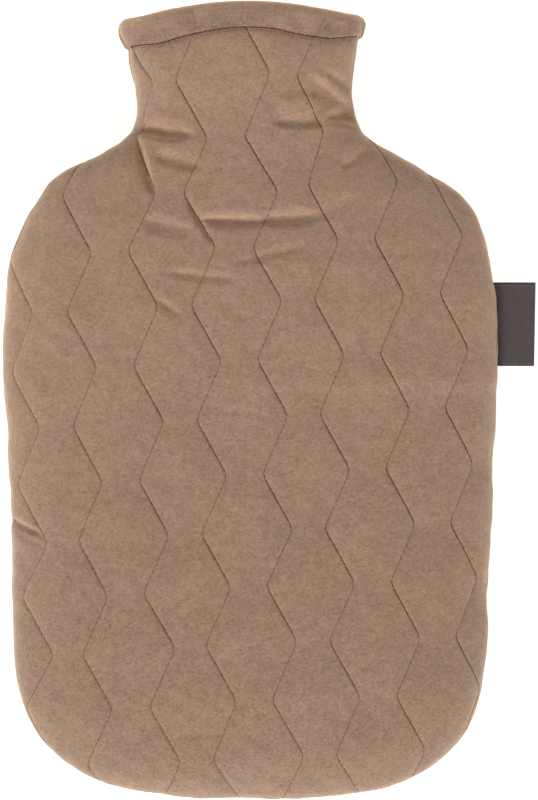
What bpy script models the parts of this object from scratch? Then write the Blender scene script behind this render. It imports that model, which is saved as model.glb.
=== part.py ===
"""Hot water bottle cover: a quilted velour pouch that lies on its back.

Two quilted panels meet at a seam that runs down one side, round the foot and up
the other. The neck is open behind a turned hem, and a folded woven label is
caught in the right side seam. X runs across the cover, Y from foot to neck and
Z up from the surface. Sizes are in millimetres, and MM turns them into metres.

Each panel is worked out over its plan, the area inside the seam seen from the
front. The bare surface is a loft of rounded sections. Cloth coordinates unroll
that loft, so that the quilting stays even on the cloth and crowds together
where the cloth turns down at the sides and round the neck.
"""

import math

import bmesh
import bpy
import numpy as np
from mathutils.geometry import delaunay_2d_cdt

MM = 0.001

# The cloth
WALL = 4.0  # velour over padding
HEM_WALL = 6.2  # the same cloth turned over at the mouth
SEAM_GAP = 0.3  # between the two panels, all along the seam

# The seam seen from the front, from the neck down to where the foot begins
OUTLINE = (  # height, reach to the left, reach to the right
    (162.0, -53.8, 48.8),
    (157.0, -52.9, 47.3),
    (153.5, -51.3, 45.0),
    (149.5, -50.0, 44.5),
    (144.0, -49.4, 44.0),
    (134.0, -46.7, 43.9),
    (123.0, -46.0, 45.2),
    (115.0, -48.2, 48.4),
    (110.0, -53.2, 54.4),
    (105.0, -62.0, 63.2),
    (99.0, -74.4, 73.2),
    (95.0, -80.4, 79.4),
    (91.5, -84.0, 85.4),
    (87.0, -87.6, 91.6),
    (77.0, -94.7, 98.5),
    (62.0, -100.1, 102.7),
    (43.0, -102.8, 105.7),
    (26.0, -103.5, 106.7),
    (10.0, -103.4, 106.5),
    (-13.0, -101.9, 105.0),
    (-51.0, -100.2, 103.6),
    (-88.0, -99.4, 101.7),
)
FOOT_TOP = OUTLINE[-1][0]
FOOT_END = -169.2
FOOT_CENTRE = 0.0
FOOT_POWERS = (3.05, 3.25)  # how square the left and right foot corners are

# How thick the pouch is on each side of its seam
THICKNESS = (  # height, rise of the front, drop of the back, height of the seam
    (165.0, 17.5, 17.0, 23.5),
    (140.0, 15.5, 17.0, 23.5),
    (115.0, 16.5, 18.5, 23.0),
    (95.0, 19.0, 21.0, 22.5),
    (70.0, 22.5, 24.2, 22.0),
    (35.0, 24.8, 25.0, 21.5),
    (-60.0, 25.5, 25.0, 21.5),
)
TAPER_TOP = THICKNESS[-1][0]
TAPER_POWER = 2.3
SECTION_POWER = 2.5  # 2 is an ellipse, and more is squarer
CONTACT_BLEND = 1.5  # how softly the back's curve meets the surface it lies on
CONTACT_REACH = 5.0  # the back's pillows flatten below this height

# Just beside the seam the cloth swells past it
BELLY = 1.2
BELLY_RING = 0.3
BACK_BELLIES = (  # x, y, reach, how much further the back swells there
    (50.5, 162.5, 5.5, 1.3),
    (-54.5, 161.0, 6.0, 0.8),
    (97.0, -130.0, 26.0, 1.3),
    (-93.0, -132.0, 22.0, 0.5),
)

# The mouth
MOUTH_TOP = 168.0
MOUTH_ARCH = 8.0
MOUTH_TILT = 1.0
MOUTH_CORNER = 2.4  # how far its corners are lifted again
HEM_DEPTHS = (  # from -1 at the left seam to 1 at the right: edge to stitches
    (-1.0, 10.0),
    (-0.92, 9.9),
    (-0.7, 11.2),
    (-0.46, 10.6),
    (-0.22, 9.9),
    (0.0, 9.3),
    (0.26, 9.5),
    (0.5, 10.7),
    (0.75, 10.2),
    (0.9, 8.4),
    (1.0, 7.2),
)
HEM_SWELL = 1.3
HEM_GROOVE = 0.9
HEM_RISE = 4.0  # length over which the hem swells, above its stitches
HEM_CALM = 6.0  # length over which the quilting dies out below them
HEM_FOLD = 2.0  # how far the turned edge bulges past the cut

# Quilting: zigzag lines of stitches, each out of step with its neighbours
QUILT_LINES = 8
QUILT_PITCH = 26.4
QUILT_SWING = 5.3
QUILT_STEP = 24.3
QUILT_TURN = math.radians(2.85)
QUILT_MIDDLE = (-1.3, -31.1)
QUILT_MIDDLE_LINE = 3.5
QUILT_MIDDLE_ROW = 2
QUILT_ROWS = range(-7, 10)
BACK_SHIFT = (7.0, 9.0)  # the back is cut from another place on the cloth
GROOVE_DEPTH = 1.2
GROOVE_HALF = 3.0
PILLOW_RISE = 1.0
PILLOW_REACH = 12.0
SEAM_CALM = 0.25  # closeness to the seam below which the quilting dies out

# Creases in the front: a trough has a depth, a ridge a depth below zero
CREASES = (  # x, y, half length, reach above, reach below, turn in degrees, depth
    (-6.2, 77.1, 17.0, 4.8, 6.2, -1.0, 2.2),
    (18.4, 78.6, 14.5, 4.5, 6.6, 3.0, 2.0),
    (38.0, 83.0, 11.0, 4.5, 5.0, 26.0, 0.8),
    (10.5, 62.6, 19.0, 3.0, 3.5, 14.0, 0.7),
    (-33.6, 74.4, 11.5, 4.0, 5.0, -13.0, 1.4),
    (-20.0, 76.0, 12.0, 2.6, 3.0, -60.0, 1.3),
    (-19.0, 53.4, 17.5, 3.0, 3.5, -6.0, 1.1),
    (-33.2, 40.3, 7.5, 2.4, 2.4, -35.0, 0.9),
    (-34.7, 114.4, 13.5, 4.6, 6.0, -8.0, 2.4),
    (-29.5, 102.4, 11.0, 4.0, 5.0, -14.0, 1.5),
    (21.5, 118.3, 12.5, 5.0, 4.5, -1.0, 1.6),
    (34.6, 131.0, 14.0, 5.0, 7.0, -32.0, 2.2),
    (41.0, 122.0, 7.0, 3.4, 3.6, -1.0, 1.6),
    (45.0, 111.5, 9.0, 3.5, 7.5, 33.0, -1.2),
    (46.4, 103.0, 9.0, 4.0, 3.0, 33.0, 1.1),
    (-43.2, 100.0, 14.0, 2.6, 5.5, -72.0, 2.4),
    (-95.0, -53.0, 10.0, 3.0, 3.0, -24.0, 1.2),
)
TROUGH_POWER = 1.7  # how sharp a trough's bottom is
INNER_CREASE = 0.6  # how much of a crease the inner skin follows

# The folded label in the right side seam
LABEL_LOW, LABEL_HIGH = 15.2, 51.1
LABEL_ROOT, LABEL_TIP = 99.6, 123.4
LABEL_FLAT_TO = 106.0
LABEL_LAYER = 0.4
LABEL_BEND = 0.42  # half the distance between the two layers' middles
LABEL_DROOP = 1.6
LABEL_CLEAR = 0.38
LABEL_EASE = 7.0  # length over which the panels close again past the label
LABEL_STOPS = (111.0, 116.0)  # where the ribbon is divided on its way to the tip
LABEL_ROWS, LABEL_TURNS = 5, 6  # across the ribbon, and round its fold
LABEL_SLANT = 0.5  # how much further the top of its tip reaches than the bottom
LABEL_SAGS = (1.3, 0.7)  # shares of the droop at the bottom and at the top

# Meshing
PROBE = 0.05  # step to either side for a slope
LEAST_HALF, LEAST_CROWN = 0.5, 0.2  # so that the foot's last section has a size
EDGE_STEP = 6.0
RINGS = (0.13, 0.28, 0.44, 0.62)
INNER_RINGS = (0.28, 0.55)
FILL_FRONT, FILL_BACK, FILL_INNER = 7.4, 9.0, 12.0
FILL_CLEAR = 0.5  # of the spacing, kept free beside a line
LINE_SAMPLES = 54  # along one leg of a zigzag
LINE_STRIDE = 18  # samples between two points of the mesh
SECTION_SAMPLES, FOOT_SAMPLES, SEAM_SAMPLES = 48, 200, 1200
CREASE_STEP, CREASE_PART, CREASE_FLANK = 5.0, 0.8, 0.6  # the last two are shares
HEM_POINTS, HEM_PART = 17, 0.985
PLAN_HALF = 110.0  # wider than the plan
CDT_INSIDE = 1
CDT_NEAR = 1e-5
BISECTIONS = 40
SHARP_FROM = math.radians(50)

FRONT, BACK = 1, -1
CLOTH_COLOUR = (0.33, 0.215, 0.148, 1.0)
BACK_COLOUR = (0.31, 0.203, 0.14, 1.0)
LABEL_COLOUR = (0.066, 0.053, 0.049, 1.0)


def clear_scene():
    for thing in list(bpy.data.objects):
        bpy.data.objects.remove(thing)


def ease(value):
    """0 to 1, with level ends."""
    value = np.clip(value, 0.0, 1.0)
    return value * value * (3.0 - 2.0 * value)


def closing(value, power):
    """The other side of a superellipse: 1 at 0, and 0 with a steep end at 1."""
    return (1.0 - np.clip(np.abs(value), 0.0, 1.0) ** power) ** (1.0 / power)


def curve(table, column, at):
    """A table's column as a smooth curve of its first one, with no overshoot."""
    rows = np.array(sorted(table))
    xs, ys = rows[:, 0], rows[:, column]
    rise = np.diff(ys) / np.diff(xs)
    before, after = rise[:-1], rise[1:]
    same = before * after > 0
    total = np.where(same, before + after, 1.0)
    inner = np.where(same, 2.0 * before * after / total, 0.0)
    slopes = np.concatenate([rise[:1], inner, rise[-1:]])
    at = np.clip(at, xs[0], xs[-1])
    low = np.clip(np.searchsorted(xs, at) - 1, 0, len(xs) - 2)
    step = xs[low + 1] - xs[low]
    t = (at - xs[low]) / step
    start = (1 + 2 * t) * (1 - t) ** 2 * ys[low] + t * t * (3 - 2 * t) * ys[low + 1]
    bend = t * (1 - t) ** 2 * slopes[low] - t * t * (1 - t) * slopes[low + 1]
    return start + bend * step


def taper(y):
    """How much of the thickness is left: it closes towards the foot's end."""
    return closing(np.clip((TAPER_TOP - y) / (TAPER_TOP - FOOT_END), 0, 1), TAPER_POWER)


def section(y, side):
    """Middle, half width and crown of the section at y."""
    level = np.maximum(y, FOOT_TOP)
    down = np.clip((FOOT_TOP - y) / (FOOT_TOP - FOOT_END), 0.0, 1.0)
    left = curve(OUTLINE, 1, level) * closing(down, FOOT_POWERS[0])
    right = curve(OUTLINE, 2, level) * closing(down, FOOT_POWERS[1])
    crown = curve(THICKNESS, 1 if side == FRONT else 2, y) * taper(y)
    return (left + right) / 2, np.maximum((right - left) / 2, LEAST_HALF), crown


def seam_height(x, y, side):
    """Height of a panel's edge: the panels part a little round the label."""
    past = (np.maximum(LABEL_LOW - y, y - LABEL_HIGH) - EDGE_STEP) / LABEL_EASE
    room = LABEL_BEND + LABEL_LAYER / 2 + LABEL_CLEAR - SEAM_GAP / 2
    lift = np.where(x > 0, room * (1.0 - ease(past)), 0.0)
    return curve(THICKNESS, 3, y) + side * (SEAM_GAP / 2 + lift)


def closeness(x, y):
    """0 on the seam, 1 along the middle of the body."""
    middle, half, _ = section(y, FRONT)
    return closing((x - middle) / half, SECTION_POWER) * taper(y)


def mouth(across):
    """Height of the mouth's edge, with -1 at the left seam and 1 at the right."""
    corner = MOUTH_CORNER * across**8
    return MOUTH_TOP - MOUTH_ARCH * across**2 + MOUTH_TILT * across + corner


def mouth_points(across, below=0.0):
    """Plan points along the mouth, or along a line some way below it."""
    across = np.asarray(across, float)
    y = mouth(across) - below
    middle, half, _ = section(y, FRONT)
    return np.column_stack([middle + half * across, y])


def hem_depth(across):
    return curve(HEM_DEPTHS, 1, across)


def base(x, y, side, on_seam):
    """Bare surface over the plan: its height, outward normal and contact with the floor."""
    level = np.maximum(y, FOOT_END + 2 * PROBE)
    middle, half, crown = section(level, side)
    ahead, behind = section(level + PROBE, side), section(level - PROBE, side)
    d_middle, d_half, d_crown = [(a - b) / (2 * PROBE) for a, b in zip(ahead, behind)]
    across = np.clip((x - middle) / half, -1.0, 1.0)
    across = np.where(on_seam, np.where(x < middle, -1.0, 1.0), across)
    up = np.where(on_seam, 0.0, closing(across, SECTION_POWER))
    crown = np.maximum(crown, LEAST_CROWN)
    flank = np.abs(across) ** (SECTION_POWER - 1) * np.sign(across)
    slope = flank * d_middle + np.abs(across) ** SECTION_POWER * d_half
    normal = np.column_stack([
        flank / half,
        -slope / half - up**SECTION_POWER * d_crown / crown,
        side * up ** (SECTION_POWER - 1) / crown,
    ])
    normal /= np.linalg.norm(normal, axis=1)[:, None]
    height = seam_height(x, y, side) + side * crown * up
    contact = np.zeros_like(height)
    if side == BACK:
        contact = 1.0 - ease(height / CONTACT_REACH)
        soft = (height + CONTACT_BLEND) ** 2 / (4 * CONTACT_BLEND)
        height = np.where(
            height > CONTACT_BLEND, height, np.where(height < -CONTACT_BLEND, 0.0, soft)
        )
        down = np.array([0.0, 0.0, -1.0])
        normal = normal * (1 - contact)[:, None] + down * contact[:, None]
        normal /= np.linalg.norm(normal, axis=1)[:, None]
    return height, normal, contact


# Cloth coordinates


def unrolled(half, crown):
    """Lengths along each section from its middle, and the places they belong to."""
    turn = np.linspace(0.0, math.pi / 2, SECTION_SAMPLES)
    across = np.sin(turn) ** (2 / SECTION_POWER)
    up = np.cos(turn) ** (2 / SECTION_POWER)
    run = np.hypot(np.outer(half, np.diff(across)), np.outer(crown, np.diff(up)))
    return across, np.pad(np.cumsum(run, axis=1), ((0, 0), (1, 0)))


def unrolled_foot():
    """Heights down the middle of the front, and their lengths from the foot's taper."""
    down = np.sin(np.linspace(0.0, math.pi / 2, FOOT_SAMPLES)) ** (2 / TAPER_POWER)
    y = TAPER_TOP - (TAPER_TOP - FOOT_END) * down
    rise = section(y, FRONT)[2]
    length = np.concatenate([[0.0], np.cumsum(np.hypot(np.diff(y), np.diff(rise)))])
    return y, length


def to_cloth(x, y):
    """Plan points as points of the flat cloth."""
    middle, half, crown = section(y, FRONT)
    share = np.clip(np.abs(x - middle) / half, 0.0, 1.0)
    across, lengths = unrolled(half, crown)
    low = np.clip(np.searchsorted(across, share) - 1, 0, len(across) - 2)
    part = (share - across[low]) / (across[low + 1] - across[low])
    row = np.arange(len(x))
    run = lengths[row, low] * (1 - part) + lengths[row, low + 1] * part
    foot_y, foot_run = unrolled_foot()
    along = np.where(
        y < TAPER_TOP, TAPER_TOP - np.interp(-y, -foot_y, foot_run), y
    )
    return np.column_stack([middle + np.sign(x - middle) * run, along])


def to_plan(cloth):
    """Points of the flat cloth as plan points, held at the seam past it."""
    foot_y, foot_run = unrolled_foot()
    along = cloth[:, 1]
    y = np.where(
        along < TAPER_TOP, np.interp(TAPER_TOP - along, foot_run, foot_y), along
    )
    middle, half, crown = section(y, FRONT)
    across, lengths = unrolled(half, crown)
    run = np.minimum(np.abs(cloth[:, 0] - middle), lengths[:, -1])
    low = np.clip((lengths < run[:, None]).sum(axis=1) - 1, 0, len(across) - 2)
    row = np.arange(len(cloth))
    span = np.maximum(lengths[row, low + 1] - lengths[row, low], 1e-9)
    part = (run - lengths[row, low]) / span
    share = across[low] * (1 - part) + across[low + 1] * part
    return np.column_stack([middle + np.sign(cloth[:, 0] - middle) * share * half, y])


# Quilting


def quilt_shift(side):
    return np.array(BACK_SHIFT if side == BACK else (0.0, 0.0))


def quilt_corners(line, side, beside=0.0):
    """Corners of one zigzag on the flat cloth, or of one that runs beside it."""
    corners = []
    for row in QUILT_ROWS:
        swing = QUILT_SWING if (line + row) % 2 else -QUILT_SWING
        along = (QUILT_MIDDLE_ROW - row) * QUILT_STEP
        across = (line - QUILT_MIDDLE_LINE) * QUILT_PITCH + swing + beside
        corners.append((
            across * math.cos(QUILT_TURN) - along * math.sin(QUILT_TURN),
            across * math.sin(QUILT_TURN) + along * math.cos(QUILT_TURN),
        ))
    return np.array(corners) + QUILT_MIDDLE + quilt_shift(side)


def quilt_lines(side):
    """Every zigzag's corners, with one more line past each side for its wall."""
    return [quilt_corners(line, side) for line in range(-1, QUILT_LINES + 1)]


def line_distance(cloth, side):
    """How far each point of the cloth lies from the nearest line of stitches."""
    nearest = np.full(len(cloth), np.inf)
    for corners in quilt_lines(side):
        for start, end in zip(corners[:-1], corners[1:]):
            leg = end - start
            share = np.clip((cloth - start) @ leg / (leg @ leg), 0.0, 1.0)
            gap = np.linalg.norm(cloth - start - share[:, None] * leg, axis=1)
            nearest = np.minimum(nearest, gap)
    return nearest


def creases(x, y):
    """How far the creases lower the front: troughs are sharp and ridges round."""
    total = np.zeros_like(x)
    for middle_x, middle_y, half_length, above, below, turn, depth in CREASES:
        turn = math.radians(turn)
        right, up = x - middle_x, y - middle_y
        along = (right * math.cos(turn) + up * math.sin(turn)) / half_length
        across = up * math.cos(turn) - right * math.sin(turn)
        inwards = np.clip(1.0 - np.abs(across) / np.where(across > 0, above, below), 0, 1)
        shape = inwards**TROUGH_POWER if depth > 0 else ease(inwards)
        total += depth * shape * ease(1.0 - along**2)
    return total


def relief(x, y, side, contact):
    """How far the sewn cloth stands out from the bare surface."""
    near = closeness(x, y)
    middle, half, _ = section(y, side)
    across = np.clip((x - middle) / half, -1.0, 1.0)
    above_stitches = y - (mouth(across) - hem_depth(across))
    gap = line_distance(to_cloth(x, y), side)
    kernel = np.clip(1.0 - (gap / GROOVE_HALF) ** 2, 0.0, 1.0) ** 2
    pillow = 1.0 - (1.0 - np.minimum(gap, PILLOW_REACH) / PILLOW_REACH) ** 2
    quilted = PILLOW_RISE * pillow * (1.0 - contact) - GROOVE_DEPTH * kernel
    quilted *= ease(near / SEAM_CALM) * ease(-above_stitches / HEM_CALM)
    hem_kernel = np.clip(1.0 - (above_stitches / GROOVE_HALF) ** 2, 0.0, 1.0) ** 2
    hem = HEM_SWELL * ease(above_stitches / HEM_RISE) - HEM_GROOVE * hem_kernel
    swell = BELLY
    if side == BACK:
        for at_x, at_y, reach, more in BACK_BELLIES:
            swell = swell + more * np.exp(-((x - at_x) ** 2 + (y - at_y) ** 2) / reach**2)
    ring = near / BELLY_RING
    belly = swell * ring * np.exp(1.0 - ring)
    folds = creases(x, y) * ease(near / SEAM_CALM) if side == FRONT else 0.0
    return quilted + hem * ease(near / SEAM_CALM) + belly - folds


def outer_points(plan, side, seam_points):
    """The panel's outside over its plan. The first points are on the seam."""
    x, y = plan[:, 0], plan[:, 1]
    on_seam = np.arange(len(plan)) < seam_points
    height, normal, contact = base(x, y, side, on_seam)
    out = np.where(on_seam, 0.0, relief(x, y, side, contact))
    points = np.column_stack([x, y, height]) + normal * out[:, None]
    points[:, 2] = np.maximum(points[:, 2], 0.0)
    return points


def inner_points(plan, side, seam_points):
    """The panel's inside: the bare surface set in by the cloth's thickness."""
    x, y = plan[:, 0], plan[:, 1]
    on_seam = np.arange(len(plan)) < seam_points
    height, normal, _ = base(x, y, side, on_seam)
    middle, half, _ = section(y, side)
    across = np.clip((x - middle) / half, -1.0, 1.0)
    above_stitches = y - (mouth(across) - hem_depth(across))
    wall = WALL + (HEM_WALL - WALL) * ease(above_stitches / HEM_CALM + 0.5)
    if side == FRONT:
        wall = wall + INNER_CREASE * creases(x, y)
    return np.column_stack([x, y, height]) - normal * wall[:, None]


# The plan's lines and points


def evenly(points, step):
    """A dense line's points taken about a step apart, both ends kept."""
    run = np.concatenate([[0.0], np.cumsum(np.linalg.norm(np.diff(points, axis=0), axis=1))])
    stops = np.linspace(0.0, run[-1], max(2, round(run[-1] / step) + 1))
    return np.column_stack([np.interp(stops, run, points[:, axis]) for axis in (0, 1)])


def seam_line():
    """The seam from the left end of the mouth, round the foot, to the right end."""
    halves = []
    for across, power in zip((-1.0, 1.0), FOOT_POWERS):
        y = np.linspace(mouth(across), FOOT_TOP, SEAM_SAMPLES)
        turn = np.linspace(0.0, math.pi / 2, SEAM_SAMPLES)[1:]
        foot_y = FOOT_TOP - (FOOT_TOP - FOOT_END) * np.sin(turn) ** (2 / power)
        y = np.concatenate([y, foot_y])
        middle, half, _ = section(y, FRONT)
        x = middle + across * half
        x[-1] = FOOT_CENTRE
        halves.append(np.column_stack([x, y]))
    return evenly(np.vstack([halves[0], halves[1][-2::-1]]), EDGE_STEP)


def ring_line(seam, ring):
    """A line inside the seam at one closeness, from mouth to mouth."""
    middle = section(seam[:, 1], FRONT)[0]
    anchor = np.column_stack([middle, seam[:, 1]])
    anchor[:, 1] = np.maximum(anchor[:, 1], TAPER_TOP)
    low, high = np.zeros(len(seam)), np.ones(len(seam))
    for _ in range(BISECTIONS):
        share = (low + high) / 2
        at = seam + (anchor - seam) * share[:, None]
        inside = closeness(at[:, 0], at[:, 1]) > ring
        low, high = np.where(inside, low, share), np.where(inside, share, high)
    line = seam + (anchor - seam) * high[:, None]
    ends = mouth_points([-closing(ring, SECTION_POWER), closing(ring, SECTION_POWER)])
    return np.vstack([ends[:1], line[1:-1], ends[1:]])


def mouth_line(rings):
    """The mouth's edge from right to left without the seam's own two points."""
    edges = sorted(closing(np.array(rings), SECTION_POWER))
    half = section(mouth(np.zeros(1)), FRONT)[1][0]
    count = round(2 * edges[0] * half / EDGE_STEP)
    middle = np.linspace(-edges[0], edges[0], count + 1)[1:-1]
    across = np.concatenate([-np.array(edges[::-1]), middle, edges])
    return mouth_points(across[::-1])


def runs(points, inside):
    """The stretches of a dense line that are inside, as index ranges."""
    marks = np.flatnonzero(np.diff(np.concatenate([[0], inside.astype(int), [0]])))
    return list(zip(marks[::2], marks[1::2]))


def quilt_plan_lines(side):
    """Each zigzag and the two edges of its groove, in plan, cut off at the sewing."""
    beside = GROOVE_HALF * math.hypot(QUILT_STEP, 2 * QUILT_SWING) / QUILT_STEP
    lines = []
    for line in range(-1, QUILT_LINES + 1):
        for offset in (-beside, 0.0, beside):
            corners = quilt_corners(line, side, offset)
            share = np.linspace(0.0, 1.0, LINE_SAMPLES + 1)[:-1, None]
            legs = [a + (b - a) * share for a, b in zip(corners[:-1], corners[1:])]
            cloth = np.vstack(legs)
            plan = to_plan(cloth)
            middle, half, _ = section(plan[:, 1], side)
            across = (plan[:, 0] - middle) / half
            hem = mouth(np.clip(across, -1, 1)) - hem_depth(across) - GROOVE_HALF
            inside = (closeness(*plan.T) > RINGS[1]) & (plan[:, 1] < hem)
            for start, end in runs(plan, inside):
                first = -(-start // LINE_STRIDE) * LINE_STRIDE
                kept = [i for i in range(first, end, LINE_STRIDE)]
                if kept and end - start > LINE_STRIDE:
                    lines.append(plan[kept])
    return lines


def crease_plan_lines():
    """The middle and both flanks of each crease."""
    lines = []
    for x, y, half_length, above, below, turn, _ in CREASES:
        turn = math.radians(turn)
        count = max(3, round(2 * half_length / CREASE_STEP) + 1)
        along = np.linspace(-CREASE_PART, CREASE_PART, count)
        for b in (-CREASE_FLANK * below, 0.0, CREASE_FLANK * above):
            a = along * half_length
            line = np.column_stack([
                x + a * math.cos(turn) - b * math.sin(turn),
                y + a * math.sin(turn) + b * math.cos(turn),
            ])
            line = line[closeness(*line.T) > RINGS[1]]
            if len(line) > 1:
                lines.append(line)
    return lines


def hem_plan_lines():
    """The hem's stitch line and both edges of its groove, short of the seam."""
    across = np.linspace(-HEM_PART, HEM_PART, HEM_POINTS)
    depth = hem_depth(across)
    return [mouth_points(across, depth + off) for off in (-GROOVE_HALF, 0.0, GROOVE_HALF)]


def fill_points(spacing, lines):
    """An even scatter of points inside the last ring that keeps off the lines."""
    row_step = spacing * math.sqrt(3) / 2
    points = []
    for row, y in enumerate(np.arange(FOOT_END, MOUTH_TOP, row_step)):
        shift = spacing / 2 * (row % 2)
        xs = np.arange(shift - PLAN_HALF, PLAN_HALF, spacing)
        points.append(np.column_stack([xs, np.full(len(xs), y)]))
    points = np.vstack(points)
    middle, half, _ = section(points[:, 1], FRONT)
    across = (points[:, 0] - middle) / half
    clear = spacing * FILL_CLEAR
    inside = (np.abs(across) < 1.0) & (closeness(*points.T) > RINGS[1])
    inside &= points[:, 1] < mouth(np.clip(across, -1, 1)) - clear
    points = points[inside]
    dense = np.vstack([evenly(line, clear / 2) for line in lines])
    gap = np.array([np.min(np.sum((dense - point) ** 2, axis=1)) for point in points])
    return points[gap > clear**2]


def triangulated(border, lines, fill):
    """Points and triangles of the plan. The border's points come first."""
    points, edges = [border], [
        (i, (i + 1) % len(border)) for i in range(len(border))
    ]
    count = len(border)
    for line in lines:
        edges += [(count + i, count + i + 1) for i in range(len(line) - 1)]
        points.append(line)
        count += len(line)
    points = np.vstack(points + [fill])
    found = delaunay_2d_cdt(
        [tuple(p) for p in points], edges, [], CDT_INSIDE, CDT_NEAR
    )
    flat = np.array([tuple(p) for p in found[0]])
    faces = np.array(found[2])
    place = {given: new for new, many in enumerate(found[3]) for given in many}
    order = [place[i] for i in range(len(border))]
    used = set(faces.ravel().tolist())
    order += sorted(used - set(order))
    renumber = np.full(len(flat), -1)
    renumber[order] = np.arange(len(order))
    return flat[order], renumber[faces]


# Objects


def material(name, colour, roughness):
    made = bpy.data.materials.new(name)
    made.use_nodes = True
    shader = made.node_tree.nodes["Principled BSDF"]
    shader.inputs["Base Color"].default_value = colour
    shader.inputs["Roughness"].default_value = roughness
    shader.inputs["Metallic"].default_value = 0.0
    made.diffuse_color = colour
    return made


def mesh_object(name, points, faces, made_of, collection):
    mesh = bpy.data.meshes.new(name)
    mesh.from_pydata([tuple(p) for p in points * MM], [], [tuple(f) for f in faces])
    tidy = bmesh.new()
    tidy.from_mesh(mesh)
    bmesh.ops.recalc_face_normals(tidy, faces=tidy.faces)
    tidy.to_mesh(mesh)
    tidy.free()
    mesh.materials.append(made_of)
    mesh.shade_smooth()
    mesh.set_sharp_from_angle(angle=SHARP_FROM)
    made = bpy.data.objects.new(name, mesh)
    collection.objects.link(made)
    return made


def panel(name, side, fill, made_of, collection):
    """One quilted panel: its outside, its inside and the edge that joins them."""
    seam = seam_line()
    rings = [ring_line(seam, ring) for ring in RINGS]
    border = np.vstack([seam, mouth_line(RINGS)])
    seam_points = len(seam)
    lines = rings + quilt_plan_lines(side) + hem_plan_lines()
    if side == FRONT:
        lines += crease_plan_lines()
    plan, faces = triangulated(border, lines, fill_points(fill, lines))
    outer = outer_points(plan, side, seam_points)

    inner_lines = [ring_line(seam, ring)[1:-1] for ring in INNER_RINGS]
    inner_lines += hem_plan_lines()[2:]
    inner_fill = fill_points(FILL_INNER, inner_lines)
    inner_plan, inner_faces = triangulated(border, inner_lines, inner_fill)
    inner = inner_points(inner_plan, side, seam_points)

    edge = len(border)
    fold = (outer[:edge] + inner[:edge]) / 2
    fold[seam_points:, 1] += HEM_FOLD
    points = np.vstack([outer, fold, inner])
    folds, insides = len(outer), len(outer) + edge
    strips = []
    for i in range(edge):
        j = (i + 1) % edge
        for low, high in ((0, folds), (folds, insides)):
            strips += [(low + i, low + j, high + j), (low + i, high + j, high + i)]
    all_faces = np.vstack([faces, inner_faces[:, ::-1] + insides, np.array(strips)])
    return mesh_object(name, points, all_faces, made_of, collection)


def label(made_of, collection):
    """A ribbon folded at its tip, with both of its ends in the seam."""
    flat_x = [LABEL_ROOT, LABEL_FLAT_TO, *LABEL_STOPS, LABEL_TIP - LABEL_BEND]
    bend = [math.pi / 2 - math.pi * i / LABEL_TURNS for i in range(1, LABEL_TURNS)]
    path = [(x, LABEL_BEND) for x in flat_x]
    path += [
        (flat_x[-1] + LABEL_BEND * math.cos(a), LABEL_BEND * math.sin(a)) for a in bend
    ]
    path += [(x, -LABEL_BEND) for x in reversed(flat_x)]
    middle = (LABEL_LOW + LABEL_HIGH) / 2
    seam = float(curve(THICKNESS, 3, np.array([middle]))[0])
    points = []
    for row in range(LABEL_ROWS):
        share = row / (LABEL_ROWS - 1)
        y = LABEL_LOW + (LABEL_HIGH - LABEL_LOW) * share
        for x, z in path:
            out = max(0.0, x - LABEL_FLAT_TO) / (LABEL_TIP - LABEL_FLAT_TO)
            sag = LABEL_SAGS[0] + (LABEL_SAGS[1] - LABEL_SAGS[0]) * share
            slant = LABEL_SLANT * (share - 0.5) * out
            points.append((x + slant, y, seam + z - LABEL_DROOP * sag * out**2))
    count = len(path)
    faces = [
        (row * count + i, row * count + i + 1, (row + 1) * count + i + 1, (row + 1) * count + i)
        for row in range(LABEL_ROWS - 1)
        for i in range(count - 1)
    ]
    made = mesh_object("side_label", np.array(points), faces, made_of, collection)
    ribbon = made.modifiers.new("ribbon", "SOLIDIFY")
    ribbon.thickness = LABEL_LAYER * MM
    ribbon.offset = 0.0
    ribbon.use_even_offset = True
    return made


def main():
    clear_scene()
    cover = bpy.data.collections.new("hot_water_bottle_cover")
    bpy.context.scene.collection.children.link(cover)
    velour = material("velour", CLOTH_COLOUR, 0.9)
    back_velour = material("back_velour", BACK_COLOUR, 0.9)
    ribbon = material("woven_label", LABEL_COLOUR, 0.7)
    panel("front_panel", FRONT, FILL_FRONT, velour, cover)
    panel("back_panel", BACK, FILL_BACK, back_velour, cover)
    label(ribbon, cover)


main()
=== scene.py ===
"""Looks of the hot water bottle cover: quilted velour, sewing thread and a woven label.

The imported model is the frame. Each panel is built again over the same sections,
with its pillows, stitch grooves, creases and turned hem in fine mesh, and takes
its solid's place. Sizes in the tables are in millimetres, and MM turns them into
metres. The properties in the sidebar are in metres, as Blender's units are.
"""

import math

import bmesh
import bpy
import numpy as np
from bpy.props import FloatProperty, FloatVectorProperty, PointerProperty
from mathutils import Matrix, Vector
from mathutils.geometry import delaunay_2d_cdt
from mathutils.kdtree import KDTree


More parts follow.
